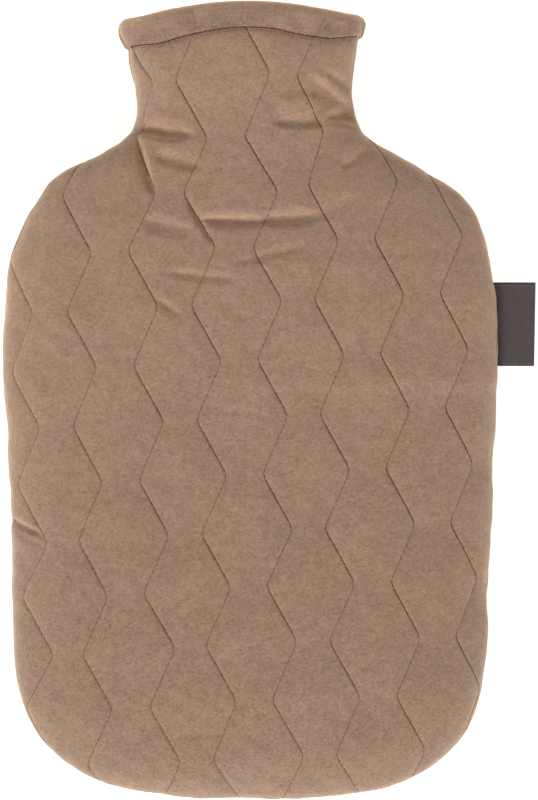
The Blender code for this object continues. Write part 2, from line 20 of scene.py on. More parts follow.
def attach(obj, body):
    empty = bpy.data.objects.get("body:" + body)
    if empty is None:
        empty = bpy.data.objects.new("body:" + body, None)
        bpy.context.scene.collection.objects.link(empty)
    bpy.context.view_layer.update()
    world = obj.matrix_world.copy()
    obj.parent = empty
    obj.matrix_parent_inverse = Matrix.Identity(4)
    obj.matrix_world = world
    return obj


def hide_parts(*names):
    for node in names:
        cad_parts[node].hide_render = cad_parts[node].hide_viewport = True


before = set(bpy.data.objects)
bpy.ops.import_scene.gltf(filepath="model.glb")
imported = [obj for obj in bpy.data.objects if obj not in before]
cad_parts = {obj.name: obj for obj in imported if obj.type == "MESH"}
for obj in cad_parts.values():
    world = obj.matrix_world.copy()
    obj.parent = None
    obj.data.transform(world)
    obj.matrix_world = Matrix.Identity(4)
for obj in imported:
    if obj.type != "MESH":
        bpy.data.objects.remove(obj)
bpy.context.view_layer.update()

bl_info = {
    "name": "Quilted hot water bottle cover",
    "version": (1, 0, 0),
    "blender": (4, 5, 0),
    "location": "View3D > Sidebar > Cover",
    "description": "Builds the quilted panels, their thread, the label and the stage",
    "category": "Object",
}

MM = 0.001
FRONT, BACK = 1, -1
NODES = {FRONT: "front_panel", BACK: "back_panel"}

# The seam seen from the front, from the neck down to where the foot begins
OUTLINE = (  # height, reach to the left, reach to the right
    (162.0, -53.8, 48.8),
    (157.0, -52.9, 47.3),
    (153.5, -51.3, 46.2),
    (149.5, -50.0, 45.4),
    (144.0, -49.4, 44.4),
    (134.0, -46.7, 43.9),
    (123.0, -46.0, 45.2),
    (115.0, -48.2, 48.4),
    (110.0, -53.2, 54.4),
    (105.0, -62.0, 63.2),
    (99.0, -74.4, 73.2),
    (95.0, -80.4, 79.4),
    (91.5, -84.0, 85.4),
    (87.0, -87.6, 91.6),
    (77.0, -94.7, 98.5),
    (62.0, -100.1, 102.7),
    (43.0, -102.8, 105.7),
    (26.0, -103.5, 106.7),
    (10.0, -103.4, 106.5),
    (-13.0, -101.9, 105.0),
    (-51.0, -100.2, 103.6),
    (-88.0, -99.4, 101.7),
)
FOOT_TOP = OUTLINE[-1][0]
FOOT_END = -169.2
FOOT_CENTRE = 0.0
FOOT_POWERS = (3.05, 3.25)

# How thick the pouch is on each side of its seam
THICKNESS = (  # height, rise of the front, drop of the back, height of the seam
    (165.0, 17.5, 17.0, 23.5),
    (140.0, 15.5, 17.0, 23.5),
    (115.0, 16.5, 18.5, 23.0),
    (95.0, 19.0, 21.0, 22.5),
    (70.0, 22.5, 24.2, 22.0),
    (35.0, 24.8, 25.0, 21.5),
    (-60.0, 25.5, 25.0, 21.5),
)
TAPER_TOP = THICKNESS[-1][0]
TAPER_POWER = 2.3
SECTION_POWER = 2.5
CONTACT_BLEND = 1.5
CONTACT_REACH = 5.0
WALL, HEM_WALL = 4.0, 6.2
SEAM_GAP = 0.3

# Just beside the seam the cloth swells past it
BELLY = 1.2
BELLY_RING = 0.3
BACK_BELLIES = (  # x, y, reach, how much further the back swells there
    (50.5, 162.5, 5.5, 1.3),
    (-54.5, 161.0, 6.0, 0.8),
    (97.0, -130.0, 26.0, 1.3),
    (-93.0, -132.0, 22.0, 0.5),
)

# The mouth and its turned hem
MOUTH_TOP, MOUTH_ARCH, MOUTH_TILT = 168.0, 8.0, 1.0
MOUTH_CORNER, MOUTH_CORNER_POWER = 2.4, 8  # how far its corners are lifted, how steeply
HEM_DEPTHS = (  # from -1 at the left seam to 1 at the right: edge to stitches
    (-1.0, 10.0),
    (-0.92, 9.9),
    (-0.7, 11.2),
    (-0.46, 10.6),
    (-0.22, 9.9),
    (0.0, 9.3),
    (0.26, 9.5),
    (0.5, 10.7),
    (0.75, 10.2),
    (0.9, 8.4),
    (1.0, 7.2),
)
HEM_SWELL, HEM_RISE, HEM_LEAN = 0.7, 1.4, 0.09
HEM_GROOVE, HEM_GROOVE_HALF, HEM_GROOVE_POWER, HEM_FLANK = 2.7, 0.9, 1.5, 4.5
HEM_CALM, HEM_QUILT = 3.5, 0.7  # how soon and how much the hem flattens the quilting
HEM_FOLD, HEM_EDGE_ROUND, HEM_EDGE_DROP = 2.0, 2.4, 1.5
HEM_EDGE_INSIDE = 0.6  # share of the edge's drop on the inside
HEM_CORNER, HEM_CORNER_REACH = 0.15, 0.5  # how much of its edge and groove is left there
HEM_TURNED = 2.2  # how far the turned cloth runs on past the stitches, inside
HEM_TURNED_STEP = 0.9
HEM_REACH = 0.992  # how near the seams the hem's stitches run

# Quilting: zigzag lines of stitches, each out of step with its neighbours
QUILT_LINES = range(-1, 9)
QUILT_PITCH, QUILT_SWING, QUILT_STEP, QUILT_BEND = 26.4, 6.0, 24.3, 2.6
QUILT_TURN = math.radians(2.85)
QUILT_MIDDLE = (-1.3, -31.1)
QUILT_MIDDLE_LINE, QUILT_MIDDLE_ROW = 3.5, 2
QUILT_ROWS = range(-7, 10)
QUILT_ASIDE = (0.0, -0.1, 0.3, 1.2, 0.4, 0.8, -0.4, -0.1, 0.45, 0.0)  # each line's own shift
BACK_SHIFT = (7.0, 9.0)
QUILT_DRIFTS = (  # where soft cloth draws the front's lines aside: x, y, reach, moves
    (-52.0, 161.0, 9.0, -6.5, 0.0),
    (-19.0, 164.5, 8.0, -3.7, -2.7),
    (-40.0, 136.0, 8.0, 2.8, -1.3),
    (-48.0, 111.0, 9.0, 6.2, -1.2),
    (-41.0, 90.0, 8.0, 1.7, 0.5),
    (-26.0, 137.0, 9.0, -2.6, -1.2),
    (-14.0, 114.0, 10.0, -1.2, -2.6),
    (-24.0, 89.0, 10.0, -1.1, -0.9),
    (0.0, 115.0, 9.0, -0.2, -2.0),
    (12.0, 91.0, 10.0, 0.7, -2.4),
    (3.0, 67.0, 10.0, 0.3, -1.6),
    (25.0, 139.0, 10.0, -2.4, -2.1),
    (37.0, 116.0, 10.0, -3.8, -2.0),
    (0.0, -105.0, 50.0, -1.2, 2.1),
    (-89.0, -11.0, 9.0, 0.7, 0.0),
    (-87.0, -60.0, 9.0, 1.6, 0.0),
    (-97.0, -84.0, 9.0, 0.0, 1.2),
    (-85.0, -108.0, 9.0, 1.8, 0.8),
    (-95.0, -133.0, 9.0, -1.5, 1.7),
    (-69.0, -107.0, 8.0, -0.4, 0.0),
    (-57.0, -131.0, 8.0, -0.5, 0.0),
    (-66.0, -156.0, 9.0, -1.6, 0.4),
    (-32.0, -104.0, 8.0, 0.8, 0.0),
)
SEAM_CALM = 0.12
QUILT_AT_SEAM, QUILT_REACH = 0.25, 0.55  # the quilting is pulled flat towards the seam
SLIT_HALF, SLIT_BESIDE = 0.42, 0.95  # of the slit that the thread draws into the pile
PUCKER_SPAN = 1.7
WAVER_LONG, WAVER_SHORT, WAVER_SHORT_SHARE = 34.0, 11.0, 0.3  # the soft cloth's two waves

# Creases in the front: a ridge has a depth below zero
CREASES = (  # x, y, half length, reach above, reach below, turn in degrees, depth, rounding
    (-6.2, 77.1, 17.0, 4.8, 6.2, -1.0, 3.3, 0.05),
    (18.4, 78.6, 14.5, 3.8, 7.0, 3.0, 2.8, 0.4),
    (38.0, 83.0, 11.0, 4.5, 6.0, 26.0, 0.8, 0.8),
    (10.5, 62.6, 19.0, 3.0, 4.0, 14.0, 0.9, 0.3),
    (-33.6, 74.4, 11.5, 5.0, 6.5, -13.0, 1.6, 0.7),
    (-20.0, 76.0, 12.5, 2.8, 2.0, -60.0, 1.7, 0.06),
    (-19.0, 53.4, 17.5, 3.0, 4.5, -6.0, 1.3, 0.3),
    (-33.2, 40.3, 7.5, 2.8, 3.2, -35.0, 1.3, 0.3),
    (-34.7, 115.0, 14.0, 5.6, 5.6, -8.0, 3.4, 0.7),
    (-29.5, 102.4, 11.5, 5.0, 5.5, -14.0, 1.9, 0.7),
    (21.5, 118.6, 12.5, 7.5, 3.8, -1.0, 2.1, 0.75),
    (36.8, 130.4, 15.5, 4.0, 13.0, -38.0, 2.3, 0.3),
    (41.0, 120.9, 8.5, 5.0, 5.4, 0.0, 2.6, 0.4),
    (39.0, 136.8, 9.0, 3.4, 4.4, -38.0, 1.4, 0.5),
    (46.4, 103.0, 9.0, 6.5, 3.4, 33.0, 1.6, 0.3),
    (-42.7, 99.6, 14.5, 2.4, 3.8, -74.0, 2.9, 0.06),
    (-44.0, 100.5, 13.0, 1.5, 7.5, -74.0, 1.0, 0.5),
    (-95.0, -53.0, 10.0, 3.0, 3.0, -24.0, 2.4, 0.2),
)
WRINKLES = (  # the same for the finest ones, which the solids leave out
    (36.0, 101.5, 4.5, 1.8, 2.0, 58.0, 0.35, 0.3),
    (40.5, 98.0, 5.0, 1.8, 2.0, 44.0, 0.35, 0.3),
    (-8.5, 139.5, 14.0, 3.0, 3.6, 5.0, 0.4, 0.6),
    (-31.5, 125.0, 8.0, 3.5, 4.0, 2.0, 0.6, 0.7),
    (22.0, 128.0, 11.0, 4.0, 8.5, 3.0, -0.9, 0.7),
    (5.0, 35.5, 15.0, 2.4, 2.8, -5.0, 0.3, 0.3),
    (2.6, -5.5, 15.0, 2.2, 2.4, -8.0, 0.3, 0.3),
    (-78.0, 28.0, 16.0, 2.8, 3.2, -14.0, 0.35, 0.3),
    (-22.0, -141.0, 15.0, 2.4, 2.8, 4.0, 0.3, 0.3),
    (-15.0, -150.0, 12.0, 2.2, 2.6, -5.0, 0.3, 0.3),
    (-92.0, -58.5, 9.0, 2.2, 2.6, -30.0, 0.6, 0.3),
    (-84.0, 90.0, 9.0, 2.4, 2.8, 28.0, 0.4, 0.3),
    (-46.5, 128.0, 5.0, 1.6, 1.8, -14.0, 0.4, 0.3),
    (-46.0, 136.5, 5.0, 1.6, 1.8, 8.0, 0.35, 0.3),
)
UPPER_POWER, LOWER_POWER = 2.0, 1.6  # how much steeper a trough is near its bottom
CREASE_FULL, CREASE_END = 1.2, 0.12
INNER_CREASE = 0.7
FOLD_CALM, FOLD_CALM_NECK, NECK_FROM, NECK_FULL = 0.4, 3.4, 80.0, 20.0  # beside the seam

# Painted light on the pile's colour: painted highlights where it is above 0, painted shade where
# it is below 0
LIP_HIGHLIGHT, LIP_HIGHLIGHT_AWAY = 0.1, 0.3  # painted highlight at a crease's lip, and how far off its line that is
EDGE_HIGHLIGHT, EDGE_HIGHLIGHT_REACH = 0.46, 1.3  # painted highlight at the mouth's edge
SEWN_SHADE, SEWN_SHADE_HALF = 0.34, 1.3  # painted shade beside the hem's stitches
HEM_SHADE, HEM_SHADE_PATCHES, HEM_SHADE_PATCH = 0.19, 0.08, 13.0  # painted shade over the hem, with random patches in it, and their size

# The folded label in the right side seam
LABEL_LOW, LABEL_HIGH = 15.2, 51.1
LABEL_ROOT, LABEL_TIP = 99.6, 123.4
LABEL_FLAT_TO = 106.0
LABEL_BEND = 0.42
LABEL_LAYER = 0.4
LABEL_DROOP = 1.6
LABEL_SLANT = 0.5
LABEL_SAGS = (1.3, 0.7)
LABEL_CLEAR = 0.38
LABEL_EASE = 7.0
LABEL_BESIDE = 6.0  # the panels stay parted this far past it
LABEL_ROWS, LABEL_STEPS, LABEL_TURNS = 39, 26, 12

# Meshing
PROBE = 0.05
LEAST_HALF, LEAST_CROWN = 0.5, 0.2
SECTION_SAMPLES, FOOT_SAMPLES, SEAM_SAMPLES = 96, 900, 1600
PLAN_HALF = 150.0
CDT_INSIDE, CDT_NEAR = 1, 1e-5
LINE_CLEAR = 0.55  # of the spacing, kept free beside a border or a line
LINE_TO_SEAM, LINE_TO_MOUTH = 0.02, 1.2  # how near them the lines of points run
FILL_CLOSE = 0.006
SMOOTH_WAVES, WAVE_SPREAD = 9, (0.7, 1.4)
INNER_STEP = 2.4
EDGE_ROWS = 8
THREAD_SIDES, THREAD_STEPS = 6, 5
THREAD_CLOSE, THREAD_EDGE = 0.05, 0.4
THREAD_NARROW, THREAD_DIP = 0.86, 0.9  # how much its ends narrow, and how far they dip
HEM_THREAD_STEP, HEM_SLANTS = 0.5, (-0.6, 1.0)

# Where each random draw starts
SEED_PATCHES, SEED_WAVER_LONG, SEED_WAVER_SHORT = 70, 5, 9
SEED_QUILTING, SEED_EACH_SIDE, SEED_HEM, SEED_SLANTS = 30, 20, 50, 51

# Patterns in the finishes: sizes in metres, and the scales of their stripes
CLOUD, BRUSHED, TUFT, PILE_GRAIN = 0.024, 0.013, 0.0032, 0.00125
CLOUD_EDGES, PAINTED_LIGHT_TINT = (0.33, 0.67), 2.0  # how clear the clouds are, and how far painted shade turns them pinker and painted highlights yellower
FLUFF, KNIT_DEPTH, KNIT_SCALE = 0.004, 0.00022, 420.0
TWIST_SHADE, TWIST_DEPTH, TWIST_SCALE = 0.006, 0.00006, 1500.0
DUST, SPECK, WEAVE_DEPTH = 0.0025, 0.0008, 0.00005
WEAVE, WEAVE_SCALE = (("X", 0.00042), ("Y", 0.00030)), 0.314  # directions, sizes of a thread
RIB_FULL, RIB_END = 0.1 * MM, 0.32 * MM  # off the raised thread's middle
# Painted light: the label is paler from its root in the seam out to here, against the shadow
# that the cover casts on it
SEAM_PAINTED_LIGHT_FROM, SEAM_PAINTED_LIGHT_TO = 104.0 * MM, 111.0 * MM
PAPER_TOOTH = 0.004

# Cut sizes and the floor, in metres
SEAM_LEVEL, FLOOR_GAP = 0.022, 0.0002
SENSOR, CAMERA_REACH = 36.0, 20.0  # the sensor in millimetres, and how far it sees


def ease(value):
    """0 to 1, with level ends."""
    value = np.clip(value, 0.0, 1.0)
    return value * value * (3.0 - 2.0 * value)


def closing(value, power):
    """The other side of a superellipse: 1 at 0, and 0 with a steep end at 1."""
    return (1.0 - np.clip(np.abs(value), 0.0, 1.0) ** power) ** (1.0 / power)


def curve(table, column, at):
    """A table's column as a smooth curve of its first one, with no overshoot."""
    rows = np.array(sorted(table))
    xs, ys = rows[:, 0], rows[:, column]
    rise = np.diff(ys) / np.diff(xs)
    before, after = rise[:-1], rise[1:]
    same = before * after > 0
    total = np.where(same, before + after, 1.0)
    inner = np.where(same, 2.0 * before * after / total, 0.0)
    slopes = np.concatenate([rise[:1], inner, rise[-1:]])
    at = np.clip(at, xs[0], xs[-1])
    low = np.clip(np.searchsorted(xs, at) - 1, 0, len(xs) - 2)
    step = xs[low + 1] - xs[low]
    t = (at - xs[low]) / step
    start = (1 + 2 * t) * (1 - t) ** 2 * ys[low] + t * t * (3 - 2 * t) * ys[low + 1]
    bend = t * (1 - t) ** 2 * slopes[low] - t * t * (1 - t) * slopes[low + 1]
    return start + bend * step


def taper(y):
    """How much of the thickness is left: it closes towards the foot's end."""
    return closing(np.clip((TAPER_TOP - y) / (TAPER_TOP - FOOT_END), 0, 1), TAPER_POWER)


def section(y, side):
    """Middle, half width and crown of the section at y."""
    level = np.maximum(y, FOOT_TOP)
    down = np.clip((FOOT_TOP - y) / (FOOT_TOP - FOOT_END), 0.0, 1.0)
    left = curve(OUTLINE, 1, level) * closing(down, FOOT_POWERS[0])
    right = curve(OUTLINE, 2, level) * closing(down, FOOT_POWERS[1])
    crown = curve(THICKNESS, 1 if side == FRONT else 2, y) * taper(y)
    return (left + right) / 2, np.maximum((right - left) / 2, LEAST_HALF), crown


def sideways(x, y):
    """-1 at the left seam, 1 at the right one."""
    middle, half, _ = section(y, FRONT)
    return np.clip((x - middle) / half, -1.0, 1.0)


def seam_height(x, y, side):
    """Height of a panel's edge: the panels part a little round the label."""
    past = (np.maximum(LABEL_LOW - y, y - LABEL_HIGH) - LABEL_BESIDE) / LABEL_EASE
    room = LABEL_BEND + LABEL_LAYER / 2 + LABEL_CLEAR - SEAM_GAP / 2
    lift = np.where(x > 0, room * (1.0 - ease(past)), 0.0)
    return curve(THICKNESS, 3, y) + side * (SEAM_GAP / 2 + lift)


def closeness(x, y):
    """0 on the seam, 1 along the middle of the body."""
    return closing(sideways(x, y), SECTION_POWER) * taper(y)


def mouth(across):
    """Height of the mouth's edge, with -1 at the left seam and 1 at the right."""
    corner = MOUTH_CORNER * across**MOUTH_CORNER_POWER
    return MOUTH_TOP - MOUTH_ARCH * across**2 + MOUTH_TILT * across + corner


def hem_depth(across):
    return curve(HEM_DEPTHS, 1, across)


def from_mouth(x, y):
    """Place between the seams, and lengths below the mouth's edge and above the stitches."""
    across = sideways(x, y)
    below_edge = mouth(across) - y
    return across, below_edge, hem_depth(across) - below_edge


def inside_edges(plan, seam_clear, edge_clear):
    """Which points lie inside the seam and below the mouth by more than this."""
    inside = closeness(*plan.T) > seam_clear
    return inside & (plan[:, 1] < mouth(sideways(*plan.T)) - edge_clear)


def mouth_points(across, below=0.0):
    """Plan points along the mouth, or along a line some way below it."""
    y = mouth(across) - below
    middle, half, _ = section(y, FRONT)
    return np.column_stack([middle + half * across, y])


def base(x, y, side, on_seam):
    """Bare surface over the plan: its height, outward normal and contact with the floor."""
    level = np.maximum(y, FOOT_END + 2 * PROBE)
    middle, half, crown = section(level, side)
    ahead, behind = section(level + PROBE, side), section(level - PROBE, side)
    d_middle, d_half, d_crown = [(a - b) / (2 * PROBE) for a, b in zip(ahead, behind)]
    across = np.clip((x - middle) / half, -1.0, 1.0)
    across = np.where(on_seam, np.where(x < middle, -1.0, 1.0), across)
    up = np.where(on_seam, 0.0, closing(across, SECTION_POWER))
    crown = np.maximum(crown, LEAST_CROWN)
    flank = np.abs(across) ** (SECTION_POWER - 1) * np.sign(across)
    slope = flank * d_middle + np.abs(across) ** SECTION_POWER * d_half
    normal = np.column_stack([
        flank / half,
        -slope / half - up**SECTION_POWER * d_crown / crown,
        side * up ** (SECTION_POWER - 1) / crown,
    ])
    normal /= np.linalg.norm(normal, axis=1)[:, None]
    height = seam_height(x, y, side) + side * crown * up
    contact = np.zeros_like(height)
    if side == BACK:
        contact = 1.0 - ease(height / CONTACT_REACH)
        soft = (height + CONTACT_BLEND) ** 2 / (4 * CONTACT_BLEND)
        height = np.where(
            height > CONTACT_BLEND, height, np.where(height < -CONTACT_BLEND, 0.0, soft)
        )
        down = np.array([0.0, 0.0, -1.0])
        normal = normal * (1 - contact)[:, None] + down * contact[:, None]
        normal /= np.linalg.norm(normal, axis=1)[:, None]
    return height, normal, contact


# The flat cloth: each section unrolled from its middle, and the foot's taper too


def unrolled(half, crown):
    """Lengths along each section from its middle, and the turns they belong to."""
    turn = np.linspace(0.0, math.pi / 2, SECTION_SAMPLES)
    across = np.sin(turn) ** (2 / SECTION_POWER)
    up = np.cos(turn) ** (2 / SECTION_POWER)
    run = np.hypot(np.outer(half, np.diff(across)), np.outer(crown, np.diff(up)))
    return turn, np.pad(np.cumsum(run, axis=1), ((0, 0), (1, 0)))


def unrolled_foot():
    """Heights down the middle of the front, and their lengths from the foot's taper."""
    down = np.sin(np.linspace(0.0, math.pi / 2, FOOT_SAMPLES)) ** (2 / TAPER_POWER)
    y = TAPER_TOP - (TAPER_TOP - FOOT_END) * down
    rise = section(y, FRONT)[2]
    length = np.concatenate([[0.0], np.cumsum(np.hypot(np.diff(y), np.diff(rise)))])
    return y, length


def to_cloth(x, y):
    """Plan points as points of the flat cloth."""
    middle, half, crown = section(y, FRONT)
    share = np.clip(np.abs(x - middle) / half, 0.0, 1.0)
    turn, lengths = unrolled(half, crown)
    wanted = np.arcsin(share ** (SECTION_POWER / 2))
    low = np.clip(np.searchsorted(turn, wanted) - 1, 0, len(turn) - 2)
    part = (wanted - turn[low]) / (turn[low + 1] - turn[low])
    row = np.arange(len(x))
    run = lengths[row, low] * (1 - part) + lengths[row, low + 1] * part
    foot_y, foot_run = unrolled_foot()
    along = np.where(y < TAPER_TOP, TAPER_TOP - np.interp(-y, -foot_y, foot_run), y)
    return np.column_stack([middle + np.sign(x - middle) * run, along])


def to_plan(cloth):
    """Points of the flat cloth as plan points, held at the seam past it."""
    foot_y, foot_run = unrolled_foot()
    along = cloth[:, 1]
    y = np.where(
        along < TAPER_TOP, np.interp(TAPER_TOP - along, foot_run, foot_y), along
    )
    middle, half, crown = section(y, FRONT)
    turn, lengths = unrolled(half, crown)
    run = np.minimum(np.abs(cloth[:, 0] - middle), lengths[:, -1])
    low = np.clip((lengths < run[:, None]).sum(axis=1) - 1, 0, len(turn) - 2)
    row = np.arange(len(cloth))
    span = np.maximum(lengths[row, low + 1] - lengths[row, low], 1e-9)
    part = (run - lengths[row, low]) / span
    share = np.sin(turn[low] * (1 - part) + turn[low + 1] * part) ** (2 / SECTION_POWER)
    return np.column_stack([middle + np.sign(cloth[:, 0] - middle) * share * half, y])


# Quilting and creases


def rounded(corners):
    """A zigzag with a short bend in place of each corner."""
    before, corner, after = corners[:-2], corners[1:-1], corners[2:]
    back, ahead = before - corner, after - corner
    first = corner + QUILT_BEND * back / np.linalg.norm(back, axis=1)[:, None]
    last = corner + QUILT_BEND * ahead / np.linalg.norm(ahead, axis=1)[:, None]
    bends = np.stack([first, (first + 2 * corner + last) / 4, last], axis=1)
    return np.vstack([corners[:1], bends.reshape(-1, 2), corners[-1:]])


def quilt_corners(line, side, beside=0.0):
    """Corners of one zigzag on the flat cloth, or of one that runs beside it."""
    corners = []
    for row in QUILT_ROWS:
        swing = QUILT_SWING if (line + row) % 2 else -QUILT_SWING
        along = (QUILT_MIDDLE_ROW - row) * QUILT_STEP
        across = (line - QUILT_MIDDLE_LINE) * QUILT_PITCH + swing + beside
        across += QUILT_ASIDE[QUILT_LINES.index(line)]
        corners.append((
            across * math.cos(QUILT_TURN) - along * math.sin(QUILT_TURN),
            across * math.sin(QUILT_TURN) + along * math.cos(QUILT_TURN),
        ))
    corners = np.array(corners) + QUILT_MIDDLE
    if side == BACK:
        return rounded(corners + BACK_SHIFT)
    for x, y, reach, right, up in QUILT_DRIFTS:
        near = np.exp(-((corners - (x, y)) ** 2).sum(axis=1) / reach**2)
        corners = corners + near[:, None] * np.array([right, up])
    return rounded(corners)


def nearest_stitches(cloth, side):
    """How far the points are from the nearest line, and how far along it that is."""
    nearest, place = np.full(len(cloth), np.inf), np.zeros(len(cloth))
    for line in QUILT_LINES:
        corners, run = quilt_corners(line, side), 0.0
        for start, end in zip(corners[:-1], corners[1:]):
            leg = end - start
            share = np.clip((cloth - start) @ leg / (leg @ leg), 0.0, 1.0)
            gap = np.linalg.norm(cloth - start - share[:, None] * leg, axis=1)
            closer = gap < nearest
            nearest = np.where(closer, gap, nearest)
            place = np.where(closer, run + share * np.linalg.norm(leg), place)
            run += np.linalg.norm(leg)
    return nearest, place


def crease_places(x, y, table):
    """Each crease's depth and rounding, and how far off its line and ends the points are."""
    for middle_x, middle_y, half_length, above, below, turn, depth, rounding in table:
        turn = math.radians(turn)
        right, up = x - middle_x, y - middle_y
        along = (right * math.cos(turn) + up * math.sin(turn)) / half_length
        across = up * math.cos(turn) - right * math.sin(turn)
        narrowed = np.maximum(1.0 - along**2, CREASE_END) ** 0.5
        away = across / (np.where(across > 0, above, below) * narrowed)
        yield depth, rounding, away, ease(CREASE_FULL * (1.0 - along**2))


def creases(x, y, table):
    """How far the creases lower the front, or raise it where their depth is below zero."""
    total = np.zeros_like(x)
    for depth, rounding, away, share in crease_places(x, y, table):
        gone = (np.hypot(away, rounding) - rounding) / (math.hypot(1.0, rounding) - rounding)
        power = np.where(away > 0, UPPER_POWER, LOWER_POWER)
        total += depth * share * np.clip(1.0 - gone, 0.0, 1.0) ** power
    return total


def painted_pile_light(plan, cloth, side):
    """Painted light on the pile's colour: painted highlights above 0 at the crease lips and the
    mouth's edge, painted shade below 0 over the hem and beside its stitches.
    """
    x, y = plan.T
    _, below_edge, above_stitches = from_mouth(x, y)
    # Painted highlight along the mouth's edge, where the rounded fold meets the light
    lay = EDGE_HIGHLIGHT * np.exp(-below_edge / EDGE_HIGHLIGHT_REACH)
    # Painted shade over the swollen hem, uneven in patches
    hem_shade_patches = HEM_SHADE_PATCHES * unevenness(cloth, HEM_SHADE_PATCH, SEED_PATCHES + side)
    lay -= (HEM_SHADE + hem_shade_patches) * ease(above_stitches / HEM_RISE)
    # Painted shade along the hem's stitches, where the fold shades the cloth
    lay -= SEWN_SHADE * np.exp(-((above_stitches / SEWN_SHADE_HALF) ** 2))
    if side == FRONT:
        # Painted highlight on the lip above each trough, painted shade beside each ridge
        for depth, rounding, away, share in crease_places(x, y, CREASES):
            near = np.maximum(away, 0.0) / LIP_HIGHLIGHT_AWAY
            lip_highlight = LIP_HIGHLIGHT * (1.0 - rounding) * near * np.exp(1.0 - near**2)
            lay += depth * share * lip_highlight
    return lay


def unevenness(cloth, wave, seed):
    """A smooth, aimless rise and fall of about 1, with waves of one length."""
    chance = np.random.default_rng(seed)
    total = np.zeros(len(cloth))
    for _ in range(SMOOTH_WAVES):
        turn, start = chance.uniform(0.0, 2 * math.pi, 2)
        length = wave * chance.uniform(*WAVE_SPREAD)
        across = cloth @ np.array([math.cos(turn), math.sin(turn)])
        total += np.sin(2 * math.pi * across / length + start)
    return total * math.sqrt(2.0 / SMOOTH_WAVES)


def quilted_rise(cloth, side, contact, above_stitches, sewn):
    """Pillows between the stitches, and the groove, slit and puckers along them."""
    gap, place = nearest_stitches(cloth, side)
    dip = np.exp(-gap / (sewn.pillow_span / MM))
    rise = sewn.pillow_rise / MM * (1.0 - dip) * (1.0 - contact)
    rise -= sewn.groove_depth / MM * dip
    rise -= sewn.slit_depth / MM * np.clip(1.0 - gap / SLIT_HALF, 0.0, 1.0)
    pitch = (sewn.stitch_length + sewn.stitch_gap) / MM
    ripple = np.cos(2 * math.pi * place / pitch) * np.exp(-gap / PUCKER_SPAN)
    rise += sewn.pucker / MM * ripple * (1.0 - contact)
    return rise * (1.0 - (1.0 - HEM_QUILT) * ease(above_stitches / HEM_CALM + 1.0))


def rounded_edge(below_edge):
    """How far the mouth's edge is rounded off: 1 at the cut, 0 where the rounding begins."""
    edge = np.clip(1.0 - below_edge / HEM_EDGE_ROUND, 0.0, 1.0)
    return 1.0 - np.sqrt(1.0 - edge**2)


def hem_rise(near, below_edge, above_stitches):
    """The swollen hem, its stitch groove and its rounded edge."""
    corner = HEM_CORNER + (1.0 - HEM_CORNER) * ease(near / HEM_CORNER_REACH)
    above = np.maximum(above_stitches, 0.0)
    hem = HEM_SWELL * ease(above / HEM_RISE) - HEM_LEAN * above
    hem -= corner * HEM_GROOVE * np.where(
        above_stitches > 0,
        np.clip(1.0 - above / HEM_GROOVE_HALF, 0.0, 1.0) ** HEM_GROOVE_POWER,
        np.exp(np.minimum(above_stitches, 0.0) / HEM_FLANK),
    )
    return hem - HEM_EDGE_DROP * corner * rounded_edge(below_edge)


def belly_rise(x, y, near, side):
    """How far the cloth swells just beside the seam."""
    swell = BELLY
    if side == BACK:
        for at_x, at_y, reach, more in BACK_BELLIES:
            swell = swell + more * np.exp(-((x - at_x) ** 2 + (y - at_y) ** 2) / reach**2)
    ring = near / BELLY_RING
    return swell * ring * np.exp(1.0 - ring)


def fold_drop(x, y, across, sewn):
    """How far creases and wrinkles lower the front. They fade out beside the seam."""
    folds = sewn.crease_share * creases(x, y, CREASES) + creases(x, y, WRINKLES)
    beside_seam = section(y, FRONT)[1] * (1.0 - np.abs(across))
    up_neck = ease((y - NECK_FROM) / NECK_FULL)
    return folds * ease(beside_seam / (FOLD_CALM + (FOLD_CALM_NECK - FOLD_CALM) * up_neck))


def relief(plan, cloth, side, contact, sewn):
    """How far the sewn cloth stands out from the bare surface."""
    x, y = plan.T
    near = closeness(x, y)
    across, below_edge, above_stitches = from_mouth(x, y)
    quilted = quilted_rise(cloth, side, contact, above_stitches, sewn)
    hem = hem_rise(near, below_edge, above_stitches)
    waves = sewn.waver / MM * unevenness(cloth, WAVER_LONG, SEED_WAVER_LONG + side)
    short = unevenness(cloth, WAVER_SHORT, SEED_WAVER_SHORT + side)
    waves = waves + WAVER_SHORT_SHARE * sewn.waver / MM * short
    quilted *= QUILT_AT_SEAM + (1.0 - QUILT_AT_SEAM) * ease(near / QUILT_REACH)
    out = (quilted + hem + waves * (1.0 - contact)) * ease(near / SEAM_CALM)
    out = out + belly_rise(x, y, near, side)
    if side == FRONT:
        out -= fold_drop(x, y, across, sewn)
    return out


def outer_points(plan, cloth, side, seam_points, sewn):
    """The panel's outside and its normals. The first points are on the seam."""
    on_seam = np.arange(len(plan)) < seam_points
    height, normal, contact = base(plan[:, 0], plan[:, 1], side, on_seam)
    out = np.where(on_seam, 0.0, relief(plan, cloth, side, contact, sewn))
    points = np.column_stack([plan, height]) + normal * out[:, None]
    points[:, 2] = np.maximum(points[:, 2], 0.0)
    return points, normal


def inner_points(plan, side, seam_points, sewn):
    """The panel's inside, with the turned cloth of the hem standing in from it."""
    x, y = plan.T
    on_seam = np.arange(len(plan)) < seam_points
    height, normal, _ = base(x, y, side, on_seam)
    across, below_edge, _ = from_mouth(x, y)
    turned = (hem_depth(across) + HEM_TURNED - below_edge) / HEM_TURNED_STEP
    wall = WALL + (HEM_WALL - WALL) * ease(turned)
    wall -= HEM_EDGE_DROP * rounded_edge(below_edge) * HEM_EDGE_INSIDE
    if side == FRONT:
        wall = wall + INNER_CREASE * sewn.crease_share * creases(x, y, CREASES)
    return np.column_stack([plan, height]) - normal * wall[:, None], normal


# The mesh of a panel, laid out on the flat cloth


